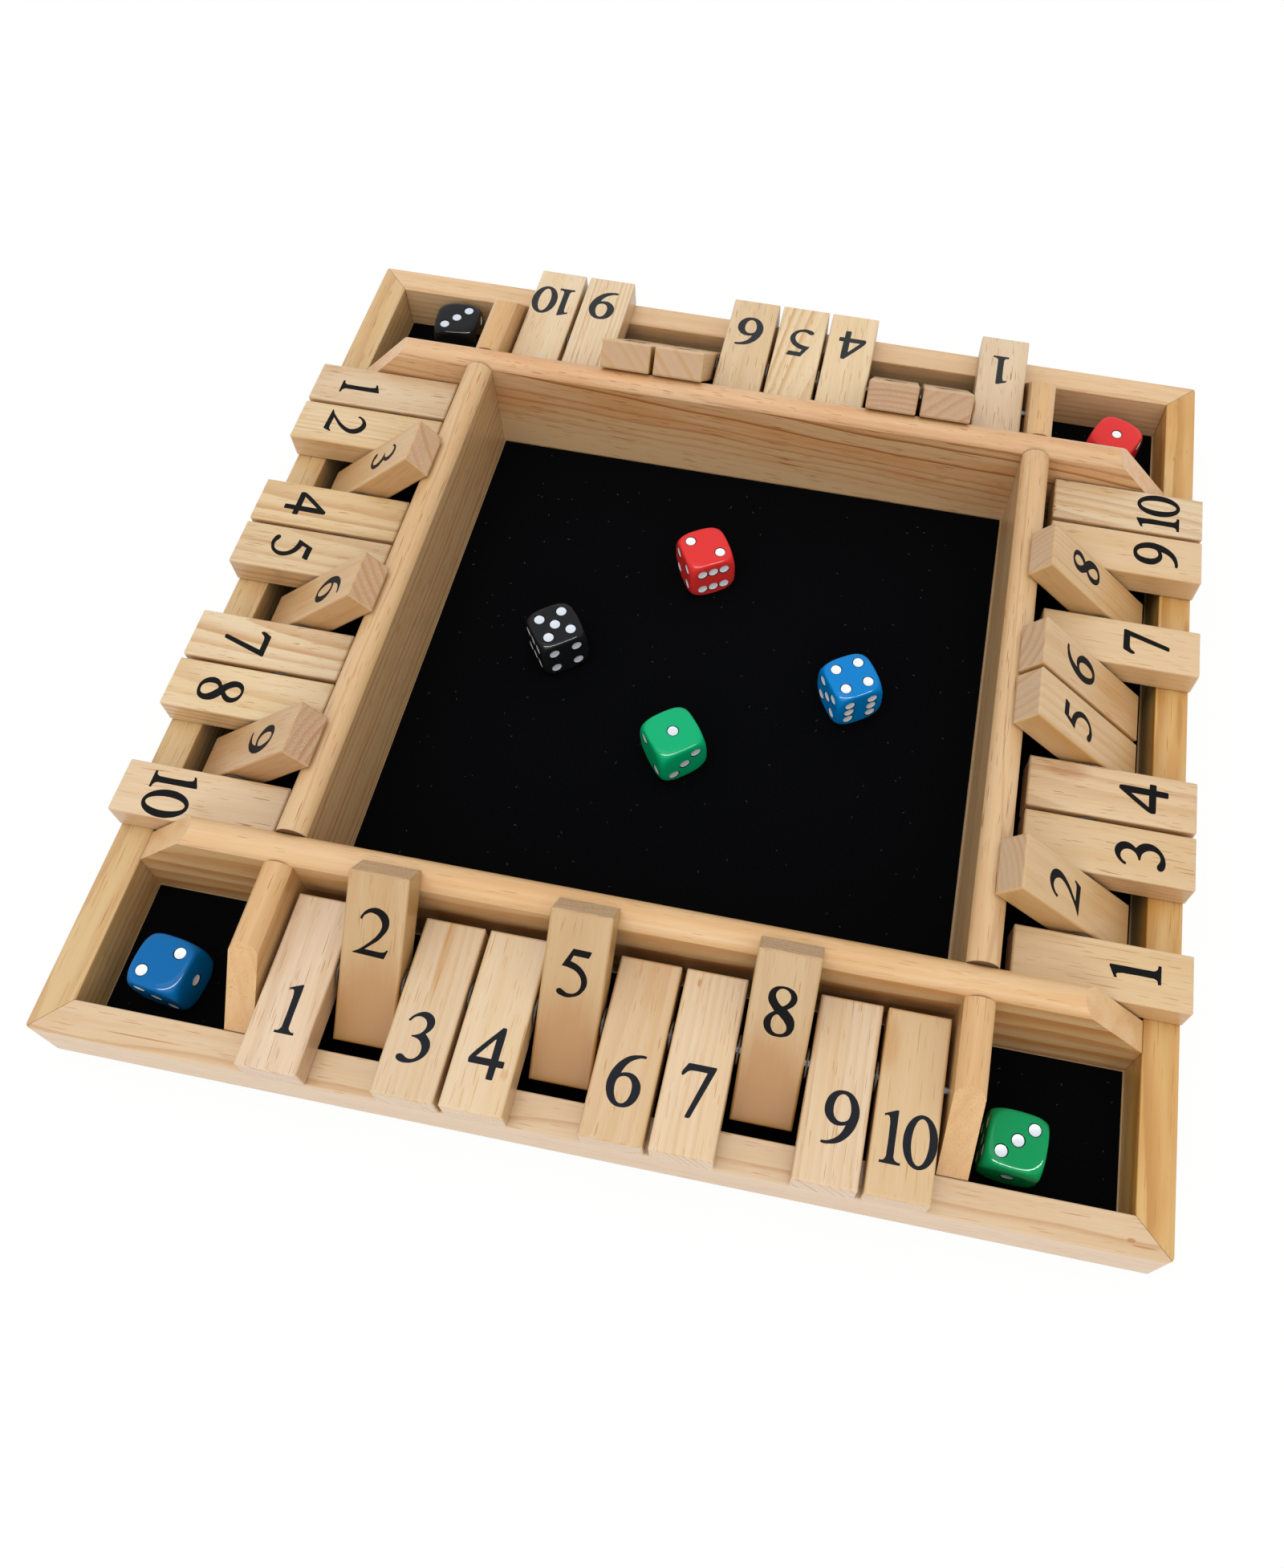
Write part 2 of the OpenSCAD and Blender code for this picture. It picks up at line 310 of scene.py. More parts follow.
# %% [markdown]
# Knots and resin pockets are stains with a place and a size of their own. A
# glued joint shows as a dark hair line, because dust and lacquer gather in it.
# It lies on the mitres of the rails, or across a wall where its next one butts.

# %% Stains and seams
SEAM_MM = 0.17
SEAM_DEPTH = 0.85
STAIN_CORE = 0.35          # share of a stain's half size that is evenly dark


def stain(tree, grain, centre, half_sizes, depth):
    """A long soft spot, dark in its middle: used for stains in the wood and for the painted shade on
    turned tiles' tails.
    """
    scale = [1 / size for size in half_sizes]
    shift = [-c / size for c, size in zip(centre, half_sizes)]
    place = add(tree, "VectorMath", {0: grain, 1: scale, 2: shift}, operation="MULTIPLY_ADD")
    far = add(tree, "VectorMath", {0: place.outputs[0]}, operation="LENGTH").outputs["Value"]
    return between(tree, far, STAIN_CORE, 1.0, depth, 0.0)


def seam(tree, seam_at):
    """The dark hair line of a joint: at a distance from the middle, or on the mitres."""
    place = add(tree, "TexCoord")
    split = add(tree, "SeparateXYZ", {0: place.outputs["Object"]})
    sides = {axis: size_of(tree, split.outputs[axis]) for axis in "XY"}
    if seam_at == "mitre":
        off = sums(tree, "SUBTRACT", sides["X"], sides["Y"])
    else:
        axis, distance = seam_at
        off = sums(tree, "SUBTRACT", sides[axis], distance)
    return between(tree, size_of(tree, off), 0.3 * SEAM_MM * MM, SEAM_MM * MM, SEAM_DEPTH, 0.0)


print("seams are", SEAM_MM, "mm wide")

# %% [markdown]
# The lacquer is thin and satin: the fibres still show through it as a fine
# relief, and the gloss changes a little from fibre to fibre. Sawn ends drink
# the lacquer, so they turn greyer and show the rings faintly under fine pores.

# %% Lacquer and sawn ends
RELIEF_MM = 0.05
END_BANDS = 0.6        # how strongly the rings show through the grey of a raw end
PORE_MM = 0.4          # pores in a sawn end, drawn a little coarse so that they show
PORE_LEVEL = (0.44, 0.64)
PORE_DEPTH = 0.6


def sawn_end(tree, grain, shift, bands, end_tone, dark):
    """The colour of a raw end: its rings, faintly, and its pores over them."""
    ringed = blended(tree, sums(tree, "MULTIPLY", bands, END_BANDS), end_tone, dark)
    pores = stretched_noise(tree, grain, PORE_MM, PORE_MM, shift, detail=1.0)
    return blended(tree, between(tree, pores, *PORE_LEVEL, 0.0, PORE_DEPTH), ringed, dark)


def lacquered(tree, colour, fibre, bands):
    """Satin wood: a plain gloss under a soft clear coat, with the fibres' relief in both."""
    relief = add(tree, "Bump", {"Height": sums(tree, "ADD", fibre, bands),
                                "Strength": 0.25, "Distance": RELIEF_MM * MM})
    wood = add(tree, "BsdfPrincipled", {"Base Color": colour, "Normal": relief.outputs[0],
                                        "Roughness": between(tree, fibre, 0.2, 0.8, 0.38, 0.52)})
    wood.inputs["IOR"].default_value = 1.5
    wood.inputs["Coat Weight"].default_value = 0.45
    wood.inputs["Coat Roughness"].default_value = 0.25
    return wood.outputs[0]


print("pores every", PORE_MM, "mm, relief of", RELIEF_MM, "mm")

# %% [markdown]
# One function makes every stick and tile, and a few numbers tell them apart.
# Here pith is where the tree's middle lay, in millimetres across the board and
# through it. ring_mm is the width of a year, sway_mm its wandering, summer the
# part of the year in which it darkens, and rings how strongly all this shows.
# streaks and ducts are the strength of honey clouds and of brown dashes. tilt
# and dip lean the grain in degrees. heart keeps the rings between two radii,
# crown is what is left of them on a face that looks up, and edges darkens the
# two narrow sides, which is painted shade.

# %% Pine
CLOUD_MM = (60.0, 6.0)         # a honey cloud in the pale wood, its length and width
FIBRE_MM = (14.0, 0.35)        # a visible bundle of fibres
DUCT_MM = (9.0, 0.3)           # a resin duct, which shows as a short brown dash
CLOUD_LEVEL = (0.38, 0.68)     # the noise runs from 0 to 1, and mostly from 0.25 to 0.75
DUCT_LEVEL = (0.735, 0.775)    # so high in the noise that ducts are rare
FIBRE_TONES = (-0.03, 0.04)    # how much paler or darker a fibre is than its neighbours
HEART_WARMTH = 0.3             # heartwood is warmer in colour, also between the clouds
CROWN_FACING = (0.2, 0.75)     # how far up a face must look to count as the crown
EDGE_FACING = (0.6, 0.95)      # how squarely a face must look sideways to be an edge
END_RINGS = 0.95               # rings stand out more where a sawn end cuts square across them
END_FACING = (0.85, 0.98)      # how squarely a face must look along the grain to be an end
END_SHARE = 0.65               # how far a raw end hides the board's own colour
SEAM_TONE = "#5A3A1C"


def pine(name, origin, along, across, pale, honey, dark, seed, pith=(10.0, -60.0), ring_mm=1.6,
         rings=0.3, sway_mm=0.8, summer=(0.3, 0.88), streaks=0.5, ducts=0.5, tilt=0.0, dip=0.0,
         heart=None, crown=1.0, edges=0.0, end_tone="#CBAE8C", stains_and_shade=(), seams=()):
    """Lacquered pine, cut along the given axes out of the place in the tree that pith gives."""
    material, tree = new_material(name)
    lean = (Matrix.Rotation(math.radians(tilt), 3, along.cross(across))
            @ Matrix.Rotation(math.radians(dip), 3, across))
    run, wide = lean @ along, lean @ across
    grain, normal = timber_coordinates(tree, origin, run, wide)
    draw = random.Random(seed)
    shifts = [tuple(draw.uniform(-50, 50) for _ in range(3)) for _ in range(5)]
    bands, core = yearly_bands(tree, grain, pith, ring_mm, sway_mm, summer, heart, shifts[0])
    cloud = stretched_noise(tree, grain, *CLOUD_MM, shifts[1])
    fibre = stretched_noise(tree, grain, *FIBRE_MM, shifts[2], detail=3.0)
    spots = stretched_noise(tree, grain, *DUCT_MM, shifts[3], detail=0.0)
    square_on = size_of(tree, facing(tree, normal, along))
    contrast = between(tree, square_on, *END_FACING, rings, max(rings, END_RINGS))
    if crown < 1:
        upward = facing(tree, normal, along.cross(across))
        bands = sums(tree, "MULTIPLY", bands, between(tree, upward, *CROWN_FACING, 1.0, crown))
    tone = sums(tree, "ADD", sums(tree, "MULTIPLY", bands, contrast),
                between(tree, fibre, 0.3, 0.7, *FIBRE_TONES))
    tone = sums(tree, "ADD", tone, between(tree, spots, *DUCT_LEVEL, 0.0, ducts))
    # painted shade on the narrow sides of the tiles
    if edges:
        on_edge = size_of(tree, facing(tree, normal, across))
        tone = sums(tree, "ADD", tone, between(tree, on_edge, *EDGE_FACING, 0.0, edges))
    for place, half_sizes, depth in stains_and_shade:
        offset = Vector(place) * MM - Vector(origin)
        centre = [offset.dot(axis) / MM for axis in (run, wide, run.cross(wide))]
        tone = sums(tree, "ADD", tone, stain(tree, grain, centre, half_sizes, depth))
    tone = add(tree, "Math", {0: tone}, operation="ADD", use_clamp=True).outputs[0]
    warm = between(tree, cloud, *CLOUD_LEVEL, 0.0, streaks)
    if core:
        warm = sums(tree, "MULTIPLY", sums(tree, "ADD", warm, HEART_WARMTH), core)
    colour = blended(tree, warm, pale, honey)
    colour = blended(tree, tone, colour, dark)
    raw = sawn_end(tree, grain, shifts[4], bands, end_tone, dark)
    colour = blended(tree, between(tree, square_on, *END_FACING, 0.0, END_SHARE), colour, raw)
    for seam_at in seams:
        colour = blended(tree, seam(tree, seam_at), colour, SEAM_TONE)
    finish_with(tree, lacquered(tree, colour, fibre, bands))
    return material


print("fibres every", FIBRE_MM[1], "mm")

# %% [markdown]
# The frame and the inner walls are warm pine. The grain of each stick runs
# along its length, and each is cut from another place in the tree, so no two
# show the same bands. The rear wall is the liveliest board, with broad brown
# flames, and the side walls show fine straight lines. A stain is given by its
# place in board millimetres, its half length, width and depth, and its strength.

# %% Rails and walls
X, Y, Z = Vector((1, 0, 0)), Vector((0, 1, 0)), Vector((0, 0, 1))
STICK_TILT = 0.6       # degrees by which a board's grain runs out, to one side or the other
RAIL_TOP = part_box("rail_front")[1].z / MM
WALL_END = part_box("long_wall_front")[1].x
SHORT_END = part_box("short_walls")[1].y
STICKS = {
    "rail_front": dict(along=X, pale="#E1D0AF", honey="#D6BC90", dark="#AE7C46", pith=(-40, -70),
                       ring_mm=2.4, rings=0.3, sway_mm=1.4, summer=(0.6, 0.92), seams=["mitre"],
                       stains_and_shade=[((141.7, -148.9, RAIL_TOP), (1.3, 0.7, 3), 0.9),
                               ((145.0, -150.0, RAIL_TOP), (3.9, 0.3, 2), 0.8),
                               ((-120.4, -149.0, RAIL_TOP), (14.5, 0.25, 2), 0.6),
                               ((3.0, -147.5, RAIL_TOP), (4.0, 0.25, 1), 0.7)]),
    "rail_rear": dict(along=X, pale="#EAD1AA", honey="#DFBF91", dark="#B98750", pith=(-35, 80),
                      ring_mm=2.4, rings=0.35, sway_mm=1.2, seams=["mitre"]),
    "rail_left": dict(along=Y, pale="#E2CE9A", honey="#D4B373", dark="#A56D33", pith=(20, 75),
                      ring_mm=2.6, rings=0.45, sway_mm=1.6, summer=(0.5, 0.92), seams=["mitre"]),
    "rail_right": dict(along=Y, pale="#DFBE80", honey="#CE994F", dark="#AE7A30", pith=(-60, -45),
                       ring_mm=4.4, rings=0.5, sway_mm=2.2, summer=(0.3, 0.9), streaks=0.9,
                       seams=["mitre"],
                       stains_and_shade=[((146.2, 142.3, RAIL_TOP), (1.2, 0.35, 1), 0.9),
                               ((145.7, 116.8, RAIL_TOP), (1.4, 0.35, 1), 0.9),
                               ((151.5, 39.1, RAIL_TOP), (10, 1.5, 4), 0.45),
                               ((150.1, 7.8, RAIL_TOP), (12, 1.2, 4), 0.4),
                               ((148.9, -82.0, RAIL_TOP), (11, 1.5, 4), 0.45)]),
    "long_wall_front": dict(along=X, pale="#EBD3A4", honey="#DFB97D", dark="#B0702F",
                            pith=(-8, -75), ring_mm=8.0, rings=0.5, sway_mm=3.6, dip=-1.5,
                            summer=(0.15, 0.8), streaks=0.7, crown=0.15, ducts=0.3,
                            seams=[("X", WALL_END)]),
    # the rear wall's pale tone is raised, as painted light on its shaded inner face
    "long_wall_rear": dict(along=X, pale="#F5DAAA", honey="#EAB880", dark="#9C5E28",
                           pith=(-12, 70), ring_mm=3.3, rings=0.6, sway_mm=2.2, dip=3.4,
                           summer=(0.5, 0.93), streaks=0.7, heart=((47, 52), (76, 88)),
                           crown=0.1, seams=[("X", WALL_END)]),
    "short_walls": dict(along=Y, pale="#EDD1A0", honey="#E0B87C", dark="#9A6230",
                        pith=(0, -120), ring_mm=2.6, rings=0.7, sway_mm=1.8, summer=(0.72, 0.93),
                        crown=0.3, seams=[("Y", SHORT_END)]),
    "dividers": dict(along=Y, pale="#E2C18C", honey="#D5AA6C", dark="#AC763C", pith=(-20, 60),
                     ring_mm=2.8, rings=0.25, sway_mm=1.0, crown=0.4,
                     seams=[("Y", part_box("dividers")[1].y)]),
}


def paint(node, material):
    """Gives a piece of the frame its finish; its shape stays as it is."""
    data = NODES[node].data
    data.materials.clear()
    data.materials.append(material)


for seed, (stick, wood) in enumerate(STICKS.items()):
    low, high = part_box(stick)
    across = Y if wood["along"] is X else -X
    paint(stick, pine("pine_" + stick, (low + high) / 2, across=across, seed=seed,
                      tilt=STICK_TILT * (-1) ** seed, **wood))
print("sticks:", len(STICKS), "walls end at mm:", round(WALL_END / MM, 2), round(SHORT_END / MM, 2))

# %% [markdown]
# Every tile has its own joint in the frame, which gives the rod's axis and
# which way the tile lies now. From that comes the tile's own set of axes: one
# to its numbered end, one along the rod, and one out of its printed face.

# %% Tile axes
class Tile:
    """A number tile: its node, row and number, its rod, and the way it lies at rest."""

    def __init__(self, joint):
        self.node = joint["child"]
        _, self.side, number = self.node.split("_")
        self.number = int(number)
        self.rod = Vector(joint["pos_m"])
        axis = Vector(joint["axis"])
        turned = math.radians(-joint["range_deg"][0])
        turn = Matrix.Rotation(turned, 3, axis)
        outward = Z.cross(axis)
        self.to_number = turn @ outward
        self.face = turn @ Z
        self.along_rod = axis
        self.laid = turned == 0


TILES = [Tile(j) for j in frame["joints"] if j["type"] == "hinge"]
REACH = max(abs(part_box(t.node)[0].y) for t in TILES) - abs(TILES[0].rod.y)
HALF_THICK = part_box("tile_front_1")[1].z - TILES[0].rod.z
print("tiles:", len(TILES), "reach mm:", round(REACH / MM, 2),
      "half thickness mm:", round(HALF_THICK / MM, 2))

# %% [markdown]
# The tiles are a paler pine than the frame, cut from many short lengths. Their
# pale and honey tones are matched row by row to how the real tiles look where
# they lie, and ten that stand out are matched one by one, so part of these tones
# is the light on each row and on those ten, painted into the wood. The tiles that
# are turned in are painted darker all round, which is painted shade of their
# leaning pose. That is a short cut, because they stay darker when they are
# turned out. The tones of the sawn ends are matched row by row too, and are
# partly their own grey and partly the light on each side, painted in.

# %% Tile tones
# each row's tones are partly painted light: the light that falls on that row
TILE_WOODS = {
    "front": [("#E9DDC6", "#DFCCA6"), ("#ECE2CB", "#E1D0AC"), ("#E6DABE", "#DDC99F")],
    "right": [("#E4D1A8", "#DABB89"), ("#E6D4B0", "#DBC191"), ("#E1CCA2", "#D7B782")],
    "rear": [("#F3E8C5", "#E7D2A6"), ("#F0E1BB", "#E5CE9D"), ("#F4EBCD", "#E9D7B0")],
    "left": [("#ECE1BE", "#E0CB9A"), ("#EFE6C6", "#E4D0A3"), ("#E9DCB4", "#DDC48D")],
    # the two turned palettes are painted shade of the leaning tiles
    "turned_front": [("#C3AC80", "#B89969"), ("#C1A97E", "#B69462"), ("#C5B088", "#BA9D6E")],
    "turned": [("#CFB991", "#C4A576"), ("#CDB68E", "#C1A06F"), ("#D2BE99", "#C6A97C")]}
# these ten tones are partly painted light on those tiles
ODD_TILES = {"tile_front_1": ("#F3E6CB", "#E9D4AF"), "tile_front_3": ("#D9CCB2", "#CFBD95"),
             "tile_front_6": ("#D5C09E", "#CCB184"), "tile_front_7": ("#E7D9BE", "#DDC8A0"),
             "tile_front_10": ("#D7C29B", "#CBB082"), "tile_right_3": ("#EAD8AE", "#E0C28C"),
             "tile_right_4": ("#EEDBB4", "#E3C491"), "tile_right_7": ("#E5D1AD", "#DABE93"),
             "tile_right_10": ("#EFE4C1", "#E4CD9B"), "tile_left_10": ("#F4E5C3", "#E8CE9E")}
TILE_DARKS = ("#B58549", "#AF7C42", "#A36D36")
# the front row's turned tiles are painted darker still: painted shade
TURNED_DARKS = ("#AC8049", "#A67840", "#A87A43")     # the front row's turned tiles
# end tones: the ends' own grey, with the light on each side painted in
END_TONES = {"front": "#C9B096", "right": "#B09A85", "rear": "#AD8A6C", "left": "#BC987C"}
# painted shade between neighbouring tiles, on their narrow sides
PAINTED_SIDE_SHADE = 0.2           # narrow sides are painted a little darker, matched
print("tile blanks:", sum(len(lot) for lot in TILE_WOODS.values()), "odd ones:", len(ODD_TILES))

# %% [markdown]
# Small knots, resin streaks and dirty spots make single tiles easy to tell
# apart. They are stains as on the rails. The tails of the turned tiles are
# painted darker and more amber than their tops, most of all in the front row,
# as one long soft spot. That is painted shade and warm light bounced between
# the tiles, and it turns with the tile as real shade would not. It is a guess
# and a short cut: the cause may well be shade and warm light between the
# tiles, and that would not turn with a tile, as this stain does.

# %% Marks on single tiles
TILE_TOP = TILES[0].rod.z / MM + HALF_THICK / MM
TILE_STAINS = {
    "tile_front_3": [((-46, -113, TILE_TOP), (17, 1.6, 3), 0.35),
                     ((-46.6, -107, TILE_TOP), (6, 0.5, 2), 0.5),
                     ((-45.6, -121, TILE_TOP), (5, 0.35, 2), 0.45)],
    "tile_front_4": [((-21.2, -142, TILE_TOP), (2.0, 1.4, 2), 0.25)],
    "tile_front_6": [((11.5, -109, TILE_TOP), (14, 5, 3), 0.12)],
    "tile_front_7": [((22.9, -107.7, TILE_TOP), (1.6, 0.8, 1), 0.5)],
    "tile_front_10": [((75.0, -114, TILE_TOP), (10, 3.5, 3), 0.3)],
    "tile_right_4": [((115, -22.3, TILE_TOP), (9, 4, 3), 0.2)],
    "tile_right_5": [((116.4, -5.2, TILE_TOP), (7, 0.6, 2), 0.6),
                     ((118, -3.2, TILE_TOP), (8, 0.4, 2), 0.5)],
    "tile_right_10": [((104.2, 77.9, TILE_TOP), (1.1, 0.5, 1), 1.0),
                      ((104.6, 76.4, TILE_TOP), (0.8, 0.4, 1), 0.9)],
    "tile_rear_6": [((-24.3, 117.8, TILE_TOP), (0.9, 0.5, 1), 0.9)],
    "tile_rear_9": [((-72, 113.5, TILE_TOP), (11, 0.35, 2), 0.7)],
    "tile_rear_1": [((72.4, 116, TILE_TOP), (7, 0.4, 2), 0.6),
                    ((74.0, 117, TILE_TOP), (5, 0.35, 2), 0.5)]}
# the painted shade on the tails of turned tiles: its size, and its strength by row
TAIL_SHADE_HALF_SIZES = (26, 16, 5)
TAIL_SHADE_DEPTH = {"front": 0.5, "right": 0.15, "rear": 0.15, "left": 0.15}


def amber_tail(tile):
    """The amber painted shade on a turned tile's tail, on its under face, 10 mm from the rod."""
    middle = tile.rod / MM - tile.to_number * 10 - tile.face * HALF_THICK / MM
    return [(middle, TAIL_SHADE_HALF_SIZES, TAIL_SHADE_DEPTH[tile.side])]


print("tiles with marks of their own:", len(TILE_STAINS))

# %% [markdown]
# Most tiles come from the outside of the tree, with the pith far below the
# printed face, so they show one or two broad soft bands. Some are cut across
# the rings and show straight fine lines, and some come from near the pith and
# show pointed flames. A few ends show rings that stand upright or lean, because
# those tiles are quartered: their pith lay off to one side.

# %% Where each tile was cut
STRAIGHT_LINED = {"tile_front_9": 0.25, "tile_front_7": 0.2, "tile_front_3": 0.2, "tile_left_2": 0.25,
                  "tile_right_5": 0.5, "tile_right_8": 0.45, "tile_rear_9": 0.3}
FLAMED = {"tile_left_4": 0.5, "tile_left_7": 0.5, "tile_left_5": 0.25, "tile_left_8": 0.3,
          "tile_rear_5": 0.4, "tile_right_4": 0.2, "tile_right_10": 0.3, "tile_front_6": 0.2}
QUARTERED = {"tile_rear_7": (-42, -36), "tile_rear_8": (-46, -44), "tile_rear_2": (38, -52),
             "tile_left_6": (34, -30), "tile_left_3": (40, -44), "tile_right_5": (-60, -22),
             "tile_right_6": (-12, -24)}
QUARTERED_RING_MM = 3.0


def cut_from(tile, draw):
    """The place of the tile's pith, and how strongly its rings show."""
    if tile.node in STRAIGHT_LINED:
        pith, rings = (draw.uniform(35, 60), draw.uniform(10, 25)), STRAIGHT_LINED[tile.node]
    elif tile.node in FLAMED:
        pith, rings = (draw.uniform(6, 12), -draw.uniform(20, 28)), FLAMED[tile.node]
    else:
        pith, rings = (draw.uniform(-22, 22), -draw.uniform(40, 80)), draw.uniform(0.06, 0.15)
    return QUARTERED.get(tile.node, pith), rings


print("straight lines:", len(STRAIGHT_LINED), "flames:", len(FLAMED), "quartered:", len(QUARTERED))

# %% [markdown]
# Each tile draws what is left to chance from a seed of its own, so a change to
# one tile leaves all the others as they are.

# %% Paint the tiles
for seed, tile in enumerate(TILES, start=100):
    draw = random.Random(seed)
    pith, rings = cut_from(tile, draw)
    row = tile.side if tile.laid else "turned_front" if tile.side == "front" else "turned"
    pale, honey = ODD_TILES.get(tile.node) or draw.choice(TILE_WOODS[row])
    dark = draw.choice(TURNED_DARKS if row == "turned_front" else TILE_DARKS)
    quartered, flamed = tile.node in QUARTERED, tile.node in FLAMED
    stains_and_shade = TILE_STAINS.get(tile.node, []) + ([] if tile.laid else amber_tail(tile))
    paint(tile.node, pine("pine_" + tile.node, tile.rod, tile.to_number, tile.along_rod,
                          pale, honey, dark, seed, pith, rings=rings,
                          ring_mm=QUARTERED_RING_MM if quartered else draw.uniform(1.4, 2.4),
                          sway_mm=draw.uniform(0.4, 1.0), streaks=draw.uniform(0.3, 0.8),
                          ducts=draw.uniform(0.5, 0.9), tilt=draw.uniform(-2, 2),
                          dip=draw.uniform(1.5, 3) if flamed else draw.uniform(-1, 1),
                          edges=PAINTED_SIDE_SHADE, end_tone=END_TONES[tile.side], stains_and_shade=stains_and_shade))
print("tiles painted:", len(TILES), "of them laid out:", sum(tile.laid for tile in TILES))

# %% [markdown]
# The floor of the board is thin birch plywood. It shows only underneath and in
# the hair-wide strip beside the felt, so a plain fine grain is enough.

# %% Plywood
paint("base_board", pine("birch_plywood", (0, 0, 0), X, Y, "#DDBF8F", "#D5B480", "#B48B57", 60,
                         pith=(0.0, -400.0), ring_mm=9.0, rings=0.2, ducts=0.1))
print("plywood painted")

# %% [markdown]
# The felt is pressed black fibre. It is matt and almost black, and its nap is
# too fine to see apart, so it is drawn as a fine uneven grain. This finish and
# all that follow need the same even noise, with a real distance between spots.

# %% Felt
FUZZ_MM = 0.3          # felt fibres lie about this far apart


def speckle(tree, apart_mm, detail=2.0):
    """Even noise in the piece, its spots about apart_mm apart."""
    place = add(tree, "TexCoord")
    in_mm = add(tree, "VectorMath", {0: place.outputs["Object"], "Scale": 1 / MM},
                operation="SCALE")
    return add(tree, "TexNoise", {"Vector": in_mm.outputs[0], "Scale": 1 / apart_mm,
                                  "Detail": detail}).outputs["Fac"]


felt, tree = new_material("black_pressed_felt")
fuzz = speckle(tree, FUZZ_MM, 3.0)
nap = add(tree, "Bump", {"Height": fuzz, "Strength": 0.6, "Distance": 0.15 * MM})
cloth = add(tree, "BsdfPrincipled", {"Normal": nap.outputs[0],
                                     "Base Color": blended(tree, between(tree, fuzz, 0.35, 0.7),
                                                           "#040405", "#0B0C0E")})
cloth.inputs["Roughness"].default_value = 1.0
cloth.inputs["Specular IOR Level"].default_value = 0.02
finish_with(tree, cloth.outputs[0])
paint("felt", felt)
print("felt painted")

# %% [markdown]
# Black felt always picks up a little pale lint. Each fibre is a three-sided
# thread of a few bends that lies on the nap. Real lint is some hundredths of a
# millimetre thick. Here it is nearly a tenth, which is about as thin as a
# thread can be and still show.

# %% Lint on the felt
LINT_COUNT = 240
LINT_THICK_MM = 0.09
LINT_STEP_MM = (0.06, 0.24)    # from one bend to the next
LINT_BENDS = 4
LINT_TINT_MM = 5.0             # fibres this far apart differ in tone
WELL_EVERY = 6                 # every sixth fibre lies in a well
FELT_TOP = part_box("felt")[1].z / MM
ARENA_MM = SHORT_END / MM - 4
WELL_MM = (104, 139)


def lint_fibre(shape, draw, start):
    """Adds one fibre, which starts at a place in board millimetres."""
    heading = draw.uniform(0, 2 * math.pi)
    points = [Vector((*start, FELT_TOP + LINT_THICK_MM / 2))]
    step = draw.uniform(*LINT_STEP_MM)
    for _ in range(LINT_BENDS):
        heading += draw.uniform(-0.9, 0.9)
        points.append(points[-1] + step * Vector((math.cos(heading), math.sin(heading), 0)))
    rows = []
    for point, after in zip(points, points[1:] + [2 * points[-1] - points[-2]]):
        side = (after - point).normalized().cross(Z)
        corners = [(math.cos(math.radians(a)), math.sin(math.radians(a))) for a in (90, 210, 330)]
        rows.append([shape.verts.new((point + (side * c + Z * s) * LINT_THICK_MM / 2) * MM)
                     for c, s in corners])
    for row, after in zip(rows, rows[1:]):
        for k in range(3):
            shape.faces.new((row[k], row[(k + 1) % 3], after[(k + 1) % 3], after[k]))
    shape.faces.new(rows[0][::-1])
    shape.faces.new(rows[-1])


draw = random.Random(7)
lint_shape = bmesh.new()
for k in range(LINT_COUNT):
    if k % WELL_EVERY:
        start = [draw.uniform(-ARENA_MM, ARENA_MM) for _ in range(2)]
    else:
        start = [draw.choice((-1, 1)) * draw.uniform(*WELL_MM) for _ in range(2)]
    lint_fibre(lint_shape, draw, start)
bmesh.ops.recalc_face_normals(lint_shape, faces=lint_shape.faces[:])
lint_mesh = bpy.data.meshes.new("felt_lint")
lint_shape.to_mesh(lint_mesh)
lint_shape.free()
lint_material, tree = new_material("stray_cotton_lint")
tint = speckle(tree, LINT_TINT_MM)
thread = add(tree, "BsdfPrincipled", {"Base Color": blended(tree, tint, "#34373D", "#7C8088")})
thread.inputs["Roughness"].default_value = 0.9
finish_with(tree, thread.outputs[0])
lint_mesh.materials.append(lint_material)
lint = bpy.data.objects.new("felt_lint", lint_mesh)
scene.collection.objects.link(lint)
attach(lint, "board")
print("lint fibres:", LINT_COUNT)

# %% [markdown]
# The rods are bright drawn steel wire, a little scuffed by the tiles that turn
# on them. Their tone is darker than bare steel, which is painted shade of the
# gaps they lie in. The washers are taken to be thin natural nylon, half clear.
# Real ones take on the brown of the wood and the dark of the gap on either side,
# and here much of that brown and dark is painted into them: painted reflection
# and painted shade.

# %% Rods and washers
SCUFF_MM = 0.5
CLOUDY_MM = 1.25       # nylon is never quite evenly clear
steel, tree = new_material("drawn_steel_rod")
scuff = speckle(tree, SCUFF_MM, 4.0)
# the steel's darker tone is painted shade of the gaps
metal = add(tree, "BsdfPrincipled", {"Base Color": blended(tree, scuff, "#808183", "#6A6C6E"),
                                     "Roughness": between(tree, scuff, 0.3, 0.7, 0.14, 0.28)})
metal.inputs["Metallic"].default_value = 1.0
finish_with(tree, metal.outputs[0])
paint("rods", steel)

nylon, tree = new_material("natural_nylon_washer")
cloudy = speckle(tree, CLOUDY_MM)
# the washers' brown tones are painted reflection of the wood and painted shade of the gaps
plastic = add(tree, "BsdfPrincipled", {"Base Color": blended(tree, cloudy, "#4E4238", "#63574C"),
                                       "Roughness": between(tree, cloudy, 0.3, 0.7, 0.25, 0.4)})
plastic.inputs["IOR"].default_value = 1.53
plastic.inputs["Specular IOR Level"].default_value = 0.1
plastic.inputs["Transmission Weight"].default_value = 0.4
finish_with(tree, plastic.outputs[0])
paint("washers", nylon)
print("rods and washers painted")

# %% [markdown]
# ## The numbers
# Each tile carries its number on both broad faces, so that it can be read
# whether the tile is laid out or turned in. The figures are printed in black
# ink with a broad-nibbed, old-style shape. Each outline here is a closed run of
# points in tenths of a millimetre from the middle of the figure's foot. A point
# is smooth unless it is marked as a corner, and Blender's curve draws the
# stretches between them.

